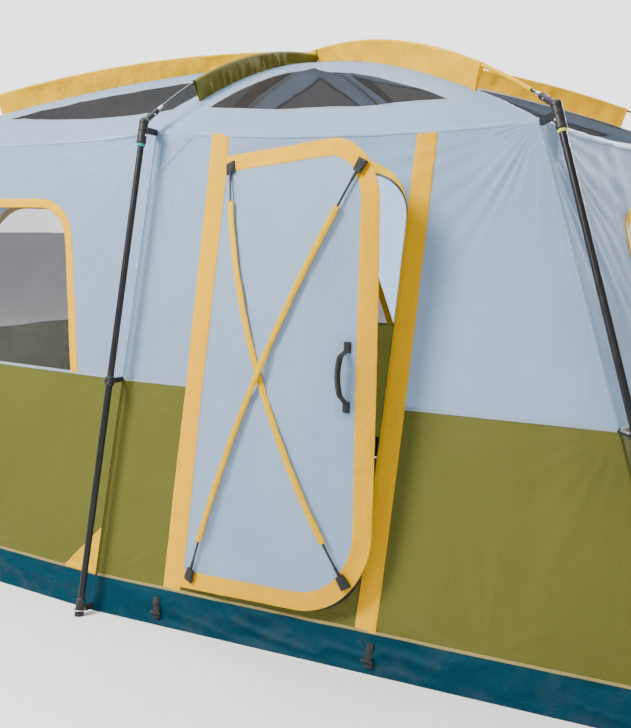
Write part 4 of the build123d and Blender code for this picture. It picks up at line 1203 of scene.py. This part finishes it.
def door_handle():
    """Webbing handle: two sewn ends, a rolled grip standing off the leaf, on a patch of its own."""
    low = LEAF_FOOT + (LEAF_TOP - LEAF_FOOT) * HANDLE_LOW
    high = LEAF_FOOT + (LEAF_TOP - LEAF_FOOT) * HANDLE_HIGH
    t = np.linspace(0, 1, 61)
    rise = 0.004 + HANDLE_RISE * ease(np.minimum(t, 1 - t) / 0.17) * (0.86 + 0.14 * np.sin(pi * t))
    y = low - HANDLE_END / 2 + (high - low + HANDLE_END) * t
    sway = HANDLE_X - 0.012 * np.sin(pi * t)
    line = leaf.at(sway, y, rise)
    across = unit(leaf.at(sway + 0.01, y) - leaf.at(sway - 0.01, y))
    run = heading(line)
    normal = unit(np.cross(run, across))
    normal = normal * np.sign((normal * leaf_normal()).sum(1))[:, None]
    grip = slice(14, 47)
    roll = 1 + 0.08 * np.sin(np.linspace(0, 40 * pi, 33))
    parts = [ribbon(line, across, normal, 2 * HANDLE_HALF_W, 0.0022, -0.0011)]
    parts += [capped(line[grip], 0.0075 * roll, 16)]
    ends = []
    for centre_y in (low - 0.022, high + 0.022):
        ys = np.linspace(centre_y - HANDLE_END / 2, centre_y + HANDLE_END / 2, 14)
        pad = leaf.at(np.full(14, HANDLE_X), ys, 0.0045)
        ends.append(ribbon(pad, across[:14], normal[:14], 0.024, 0.0022))
        ends.append(ribbon(pad + normal[:14] * 0.0022, across[:14], normal[:14], 0.020, 0.0014))
    obj = build("door_handle_webbing", parts + ends, black_webbing, "door", node="door_handle")
    xs = np.linspace(HANDLE_X - 0.038, LEAF_W - BORDER - 0.001, 13)[None]
    ys = np.linspace(low - 0.062, high + 0.062, 40)[:, None]
    flat = pairs(xs, ys)
    patch = build("door_handle_patch", [laid(leaf, flat, 0.0018)], patch_cloth, "door")
    on_door(obj)
    on_door(patch)


def door_welt():
    """Sewn welt that joins the leaf to the hinge strip; it stays where it is built, outside the door's body.
    """
    heights = np.linspace(LEAF_FOOT, LEAF_TOP, 90)
    strip = walls["front_right"].upright(door_wall_x(LEFT_STRIP[1], heights * leaf.z[2]), heights * leaf.z[2])
    wall_line = walls["front_right"].at(strip[..., 0] - 0.006, strip[..., 1], 0.002)
    leaf_edge = leaf.at(np.full(90, HINGE_EDGE + 0.010), heights, 0.0016)
    middle = (wall_line + leaf_edge) / 2 - np.array([0, 0.003, 0])
    grid = np.stack([wall_line, middle, leaf_edge])
    uv = pairs(heights[None], np.array([-0.01, 0, 0.01])[:, None])
    obj = build("door_hinge_welt", [(grid, uv)], trim_cloth)
    world = obj.matrix_world.copy()
    obj.parent = None
    obj.matrix_world = world
    del obj["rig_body"]
    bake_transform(obj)


# ---------------------------------------------------------------- zip
TOOTH_PITCH, TOOTH = 0.0034, (0.0011, 0.0024, 0.0012)


def teeth(line, across, normal):
    """A row of coil teeth along a line."""
    total = length_of(line)
    count = int(total / TOOTH_PITCH)
    line, across, normal = resample(line, count), resample(across, count), resample(normal, count)
    run = heading(line)
    angle = np.linspace(0, 2 * pi, 7)
    parts = []
    for p, a, n, r in zip(line, unit(across), unit(normal), run):
        shift = np.array([-TOOTH[1], 0.0, TOOTH[1]])
        swell = np.array([0.55, 1.0, 0.7])
        centre = p + a * shift[:, None]
        ring = r * (np.cos(angle) * TOOTH[0])[:, None] + n * (np.sin(angle) * TOOTH[2])[:, None]
        points = centre[:, None] + ring[None] * swell[:, None, None]
        parts.append((points, np.zeros(points.shape[:2] + (2,))))
    return parts


def door_zip():
    """Zip along the doorway's free side and head, its tape, and the matching half on the leaf."""
    sheet = walls["front_right"]
    foot = SILL + 0.005
    line = doorway_line(DOOR_HEAD - 0.004, DOOR_CORNER, (80, 190), foot)
    run = heading(line)
    side = np.stack([run[:, 1], -run[:, 0]], 1)
    near, far = line + side * 0.0035, line - side * 0.004
    edge = sheet.at(near[:, 0], near[:, 1], 0.0)
    across = unit(edge - sheet.at(far[:, 0], far[:, 1], 0.0))
    normal = np.broadcast_to(sheet.n, edge.shape)
    tape = band(sheet, line - side * 0.003, 0.013, -0.0024, 0.0012, 0.0003)
    build("doorway_zip", [tape] + teeth(edge, across, normal), zip_nylon, node="zip_coil")
    line = leaf_line(0.010, (110, 200, 110))
    run = heading(line)
    side = np.stack([run[:, 1], -run[:, 0]], 1)
    edge = leaf.at(line[:, 0], line[:, 1], -0.0036)
    across = unit(leaf.at(*(line + side * 0.005).T) - leaf.at(*(line - side * 0.005).T))
    normal = unit(leaf.at(*line.T, 0.005) - leaf.at(*line.T, -0.005))
    tape = band(leaf, line - side * 0.004, 0.009, -0.0036, 0.0012)
    half = build("door_leaf_zip", [tape] + teeth(edge, across, normal), zip_nylon, "door")
    on_door(half)


def zip_slider():
    """Slider with a bridge over its body, and a pull that hangs down."""
    low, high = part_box("zip_slider")
    centre = np.array((low + high) / 2)
    zip_joint = next(j for j in frame["joints"] if j["name"] == "door_zip")
    up = unit(-np.array(zip_joint["axis"]))
    inward = -walls["front_right"].n
    side = np.cross(up, inward)
    middle = centre + up * 0.012 - inward * 0.001
    t = np.linspace(0, 1, 17)
    parts = []
    for s in (-1, 1):
        belly = (0.0026 + 0.0014 * np.sin(pi * t))[:, None]
        line = middle + up * (t[:, None] - 0.5) * 0.020 + side * s * belly
        parts.append(capped(line, 0.0024, 10))
    rise = (np.sin(pi * t) * 0.0030 + 0.001)[:, None]
    bridge = middle + up * (np.cos(pi * t) * 0.006)[:, None] + inward * rise
    parts.append(capped(bridge, 0.0009, 8))
    pull = middle + inward * 0.0032 - up * (0.002 + 0.030 * t)[:, None]
    parts.append(capped(pull, 0.0012 + 0.0022 * ease((t - 0.25) / 0.2), 10))
    build("zip_slider_body", parts, zip_nylon, "zip_slider", node="zip_slider")


# ---------------------------------------------------------------- legs, hubs and fittings
def leg_direction(name):
    elbow, foot = legs[name][:2]
    return unit(foot - elbow)


def on_leg(name, height):
    """Point of a leg's line at a height."""
    elbow, down = legs[name][0], leg_direction(name)
    return elbow + down * ((elbow[2] - height) / -down[2])


def leg_details():
    """Swaged joints, spring buttons and top collars on the leg tubes."""
    swages, buttons = [], []
    for name in RING:
        down = leg_direction(name)
        joint = on_leg(name, JOINT_Z)
        t = np.linspace(-1, 1, 15)[:, None]
        swages.append(capped(joint + down * 0.016 * t, LEG_R + 0.0009 * (1 - np.abs(t[:, 0])**4), 24))
        swages.append(tube(joint + down * (0.024 + 0.0015 * t), LEG_R + 0.0010, 24))
        side = unit(np.cross(down, UP))
        spot = joint + down * 0.045 + side * LEG_R * 0.75
        buttons.append(capped(spot + side * np.linspace(0, 0.0042, 5)[:, None], 0.0028, 12))
    build("leg_swages", swages, leg_paint)
    build("leg_spring_buttons", buttons, bright_wire)


def hub_details():
    """Ribs, collar lips and screws on the elbows, and the arm that holds the wall's corner."""
    parts, screws = [], []
    for name in RING:
        elbow, leave = legs[name][::2]
        down, across = leg_direction(name), unit(leave - elbow)
        t = np.linspace(-1, 1, 7)[:, None]
        for at in (0.074, 0.030):
            parts.append(capped(elbow + down * (at + 0.003 * t), HUB_R + 0.0012, 28))
        for at in (0.085, 0.076, 0.040):
            parts.append(capped(elbow + across * (at + 0.0018 * t), POLE_SOCKET_R + 0.0010, 24))
        side = unit(np.cross(down, across))
        u = np.linspace(0, 1, 9)[:, None]
        web = [elbow + down * (0.055 * (1 - u)) + across * (0.056 * u),
               elbow + down * (0.020 * (1 - u)) + across * (0.030 * u)]
        for s in (-0.003, 0.003):
            flat = between(web[0] + side * s, web[1] + side * s, 4)
            parts.append((flat, np.zeros(flat.shape[:2] + (2,))))
        for s in (-1, 1):
            head = elbow + down * 0.050 + side * s * (HUB_R - 0.001)
            screws.append(capped(head + side * s * np.linspace(0, 0.002, 4)[:, None], 0.0042, 14))
            head = elbow + across * 0.060 + side * s * (POLE_SOCKET_R - 0.001)
            screws.append(capped(head + side * s * np.linspace(0, 0.0018, 4)[:, None], 0.0034, 14))
    build("hub_ribs", parts, black_nylon)
    build("hub_screws", screws, bright_wire)


def hub_rings():
    """Marker rings under the hubs: teal for the middle legs, green for the corners."""
    for colour, names in (("teal", RING[1::3]), ("green", [n for n in RING if not n.endswith("middle")])):
        parts = []
        for name in names:
            down = leg_direction(name)
            t = np.linspace(0, 1, 17)
            line = legs[name][0] + down * (0.080 + 0.012 * t)[:, None]
            parts.append(tube(line, LEG_R + 0.0005 + 0.0030 * np.sin(pi * t)**0.35, 28))
        build(f"hub_rings_{colour}", parts, marker_nylon[colour], node="hub_rings")


def clip_tabs():
    """Webbing tabs from the wall's corners to the clips on the legs, with a plastic hook in each."""
    tabs, hooks = [], []
    for name in RING:
        down = leg_direction(name)
        for height in (SEAM, HUB_ARM_Z):
            start = corner(name, height)
            leg = on_leg(name, height) if height == SEAM else legs[name][0] + down * HUB_ARM_START
            reach = unit(leg - start)
            t = np.linspace(0, 1, 12)[:, None]
            tab = start + reach * (0.014 * t)
            side = unit(np.cross(reach, down))
            tabs.append(ribbon(tab, np.broadcast_to(unit(np.cross(side, reach)), tab.shape),
                               np.broadcast_to(side, tab.shape), 0.020, 0.0022, -0.0011))
            if height != SEAM:
                continue
            turn = np.linspace(0.15 * pi, 1.85 * pi, 25)[:, None]
            hook = reach * np.cos(turn) + side * np.sin(turn)
            hooks.append(capped(leg + hook * (LEG_R + 0.0065), 0.0028, 10))
            for end in (-0.010, 0.010):
                lip = leg + down * (end + 0.0015 * np.linspace(-1, 1, 5))[:, None]
                hooks.append(capped(lip, LEG_R + 0.0052, 24))
    build("clip_tabs", tabs, black_webbing)
    build("clip_hooks", hooks, black_nylon)


STRAP_W, STRAP_Z, RING_Z = 0.025, 0.020, 0.022


def foot_fittings():
    """Straps from the tub's corners to wire rings round the legs' feet, and ribs on the foot cups."""
    straps, rings, ribs = [], [], []
    for name in RING:
        foot, down = legs[name][1], leg_direction(name)
        start, ring = corner(name, STRAP_Z), on_leg(name, RING_Z)
        reach = unit((ring - start) * np.array([1, 1, 0]))
        gap = float(np.linalg.norm((ring - start)[:2])) - LEG_R - 0.009
        t = np.linspace(0, 1, 20)[:, None]
        line = start + reach * (0.002 + (gap - 0.002) * t) - UP * 0.004 * np.sin(pi * t) + UP * 0.003 * t
        side = np.cross(UP, reach)
        upright, sideways = np.broadcast_to(UP, line.shape), np.broadcast_to(side, line.shape)
        straps.append(ribbon(line, upright, sideways, STRAP_W, 0.0024, -0.0012))
        straps.append(ribbon(line[:9], upright[:9], sideways[:9], STRAP_W - 0.004, 0.0020, 0.0012))
        turn = np.linspace(0, 2 * pi, 41)[:, None]
        wire = reach * np.cos(turn) + side * np.sin(turn)
        rings.append(tube(ring + wire * (LEG_R + 0.0085), 0.0018, 10))
        for at in (0.058, 0.050, 0.042):
            lip = foot - down * (at + 0.0012 * np.linspace(-1, 1, 5))[:, None]
            ribs.append(capped(lip, LEG_R + 0.0048, 24))
    build("foot_strap_webbing", straps, black_webbing, node="foot_straps")
    build("foot_wire_rings", rings, bright_wire, node="foot_rings")
    build("foot_cup_ribs", ribs, black_nylon)


LOOP_Z, LOOP_W, LOOP_H = 0.058, 0.026, 0.080
LOOP_SPOTS = {"front_left": (0.3, 0.7), "front_right": (0.135, 0.53), "back_right": (0.3, 0.7),
              "back_left": (0.3, 0.7), "right": (0.3, 0.7), "left": (0.3, 0.7)}


def stake_loops():
    """Webbing tabs on the tub, each with a loop that holds a plastic toggle for the stake."""
    tabs, toggles = [], []
    for wall, shares in LOOP_SPOTS.items():
        sheet = walls[wall]
        for share in shares:
            x, y = sheet.edge(share, LOOP_Z)
            ys = np.linspace(y + LOOP_H / 2, y - LOOP_H / 2, 26)
            t = np.linspace(0, 1, 26)
            lift = 0.0022 + 0.011 * np.sin(pi * ease((t - 0.42) / 0.5))**2
            line = sheet.at(np.full(26, x), ys, lift)
            normal = unit(np.cross(np.gradient(line, axis=0), sheet.ex))
            normal = normal * np.sign((normal * sheet.n).sum(1))[:, None]
            across = np.broadcast_to(sheet.ex, line.shape)
            tabs.append(ribbon(line, across, normal, LOOP_W, 0.0020))
            tabs.append(ribbon(line[:9] + normal[:9] * 0.002, across[:9], normal[:9], LOOP_W - 0.004, 0.0018))
            centre = sheet.at(x, y - 0.016, 0.009)
            bar = centre + sheet.ex * np.linspace(-0.022, 0.016, 17)[:, None]
            toggles.append(capped(bar, 0.0042 + 0.0016 * np.cos(np.linspace(0, 2 * pi, 17)), 14))
            turn = np.linspace(0, 2 * pi, 33)[:, None]
            ring = centre - sheet.ey * 0.006
            ring = ring + sheet.ex * np.cos(turn) * 0.013 + sheet.ey * np.sin(turn) * 0.011
            toggles.append(tube(ring, 0.0017, 8))
    build("stake_loop_webbing", tabs, black_webbing, node="stake_loops")
    build("stake_loop_toggles", toggles, black_nylon)


def pole_details():
    """Ferrules along the roof poles and at their ends."""
    ferrules = []
    for arch in arches.values():
        for at in (-0.62, -0.21, 0.21, 0.62):
            line = arch.point(at * arch.span + np.linspace(-0.028, 0.028, 9))
            ferrules.append(capped(line, 0.0062, 18))
        for end in (-1, 1):
            line = arch.point(end * (arch.span - np.linspace(0.004, 0.030, 8)))
            ferrules.append(capped(line, 0.0072 - 0.0012 * np.linspace(0, 1, 8), 18))
    build("roof_pole_ferrules", ferrules, bright_wire)


def finish_cad_nodes():
    """Materials and softened edges on the CAD parts that show."""
    looks = {
        leg_paint: ("leg_upper", "leg_lower"),
        pole_resin: ("roof_pole_left", "roof_pole_middle", "roof_pole_right"),
        black_nylon: ("hubs", "leg_clips", "leg_feet"),
    }
    for material, names in looks.items():
        for name in names:
            node = frame["nodes"][name]
            node.data.materials.clear()
            node.data.materials.append(material)
            if material is black_nylon:
                bevel = node.modifiers.new("soft_edges", "BEVEL")
                bevel.width, bevel.segments, bevel.limit_method = 0.0012, 2, "ANGLE"
                bevel.angle_limit = radians(50)


# ---------------------------------------------------------------- floor, light and camera
FLOOR_HALF = 60.0


def studio():
    """A pale floor and soft light, stronger from the front left."""
    ground = bpy.data.meshes.new("studio_floor")
    corners = [(x * FLOOR_HALF, y * FLOOR_HALF, 0) for x, y in ((-1, -1), (1, -1), (1, 1), (-1, 1))]
    ground.from_pydata(corners, [], [(0, 1, 2, 3)])
    floor = bpy.data.objects.new("studio_floor", ground)
    bpy.context.scene.collection.objects.link(floor)
    floor.location.z = -0.0005
    m = Shader("studio_floor")
    grain = m.noise(m.place, 3.0, 4.0)
    shade = m.blend(m.spread(grain, 0.3, 0.7), (0.86, 0.86, 0.86), (0.90, 0.90, 0.90))
    ground.materials.append(m.close(m.node("BsdfPrincipled", {"Base Color": shade, "Roughness": 0.9})))

    world = bpy.data.worlds.new("studio")
    world.use_nodes = True
    nodes, links = world.node_tree.nodes, world.node_tree.links
    soft, seen = nodes["Background"], nodes.new("ShaderNodeBackground")
    soft.inputs["Color"].default_value, soft.inputs["Strength"].default_value = (0.92, 0.96, 1.0, 1.0), 0.45
    seen.inputs["Color"].default_value, seen.inputs["Strength"].default_value = (1.0, 1.0, 1.0, 1.0), 2.6
    choice = nodes.new("ShaderNodeMixShader")
    links.new(nodes.new("ShaderNodeLightPath").outputs["Is Camera Ray"], choice.inputs[0])
    links.new(soft.outputs[0], choice.inputs[1])
    links.new(seen.outputs[0], choice.inputs[2])
    links.new(choice.outputs[0], nodes["World Output"].inputs["Surface"])
    bpy.context.scene.world = world
    lamps = [
        ("key", (-1.7, -4.7, 5.0), (0.6, -1.2, 1.6), 2.0, 720, (1.0, 0.98, 0.95)),
        ("fill", (7.5, -6.5, 3.6), (0.8, -0.6, 0.9), 4.5, 90, (0.94, 0.97, 1.0)),
        ("top", (0.0, 1.0, 7.5), (0.0, 0.0, 0.0), 5.0, 520, (1.0, 1.0, 1.0)),
        ("back", (0.5, 6.5, 3.2), (0.3, 1.2, 0.9), 4.0, 1500, (1.0, 1.0, 1.0)),
    ]
    for name, place, target, width, power, colour in lamps:
        lamp = bpy.data.lights.new(name, "AREA")
        lamp.shape, lamp.size, lamp.energy, lamp.color = "DISK", width, power, colour
        holder = bpy.data.objects.new(name, lamp)
        holder.location = place
        holder.rotation_euler = (Vector(target) - Vector(place)).to_track_quat("-Z", "Y").to_euler()
        holder.visible_camera = False
        bpy.context.scene.collection.objects.link(holder)


CAMERA_AT, CAMERA_YAW, CAMERA_PITCH, CAMERA_ROLL = (2.7036, -4.5621, 1.4369), -0.58496, -0.11982, -0.01638
LENS, SHIFT_X, SHIFT_Y = 56.293, 0.0836, -0.0137


def camera():
    """A person's view from the front right, at standing height."""
    data = bpy.data.cameras.new("view")
    data.lens, data.sensor_width, data.shift_x, data.shift_y = LENS, 36.0, SHIFT_X, SHIFT_Y
    forward = np.array([sin(CAMERA_YAW), cos(CAMERA_YAW), 0]) * cos(CAMERA_PITCH) + UP * sin(CAMERA_PITCH)
    level = np.array([cos(CAMERA_YAW), -sin(CAMERA_YAW), 0])
    down = np.cross(forward, level)
    right = level * cos(CAMERA_ROLL) + down * sin(CAMERA_ROLL)
    down = down * cos(CAMERA_ROLL) - level * sin(CAMERA_ROLL)
    holder = bpy.data.objects.new("view", data)
    turn = Matrix([right, -down, -forward]).transposed().to_4x4()
    holder.matrix_world = Matrix.Translation(CAMERA_AT) @ turn
    bpy.context.scene.collection.objects.link(holder)
    bpy.context.scene.camera = holder


# ---------------------------------------------------------------- the whole tent
floor_sheet()
tub_band()
plain_walls()
door_wall()
door_sill_corner()
door_header()
seams()
corner_patches()
cable_port()
for sector in WALLS:
    roof_sector(sector)
roof_sleeve("left", sleeve_cloth, tails=False)
roof_sleeve("right", sleeve_cloth, tails=True)
roof_sleeve("middle", dark_sleeve_cloth, tails=False)
door_panel()
door_border()
door_rods()
door_rod_sleeves()
door_pockets()
door_handle()
door_welt()
door_zip()
zip_slider()
leg_details()
hub_details()
hub_rings()
clip_tabs()
foot_fittings()
stake_loops()
pole_details()
finish_cad_nodes()
studio()
camera()
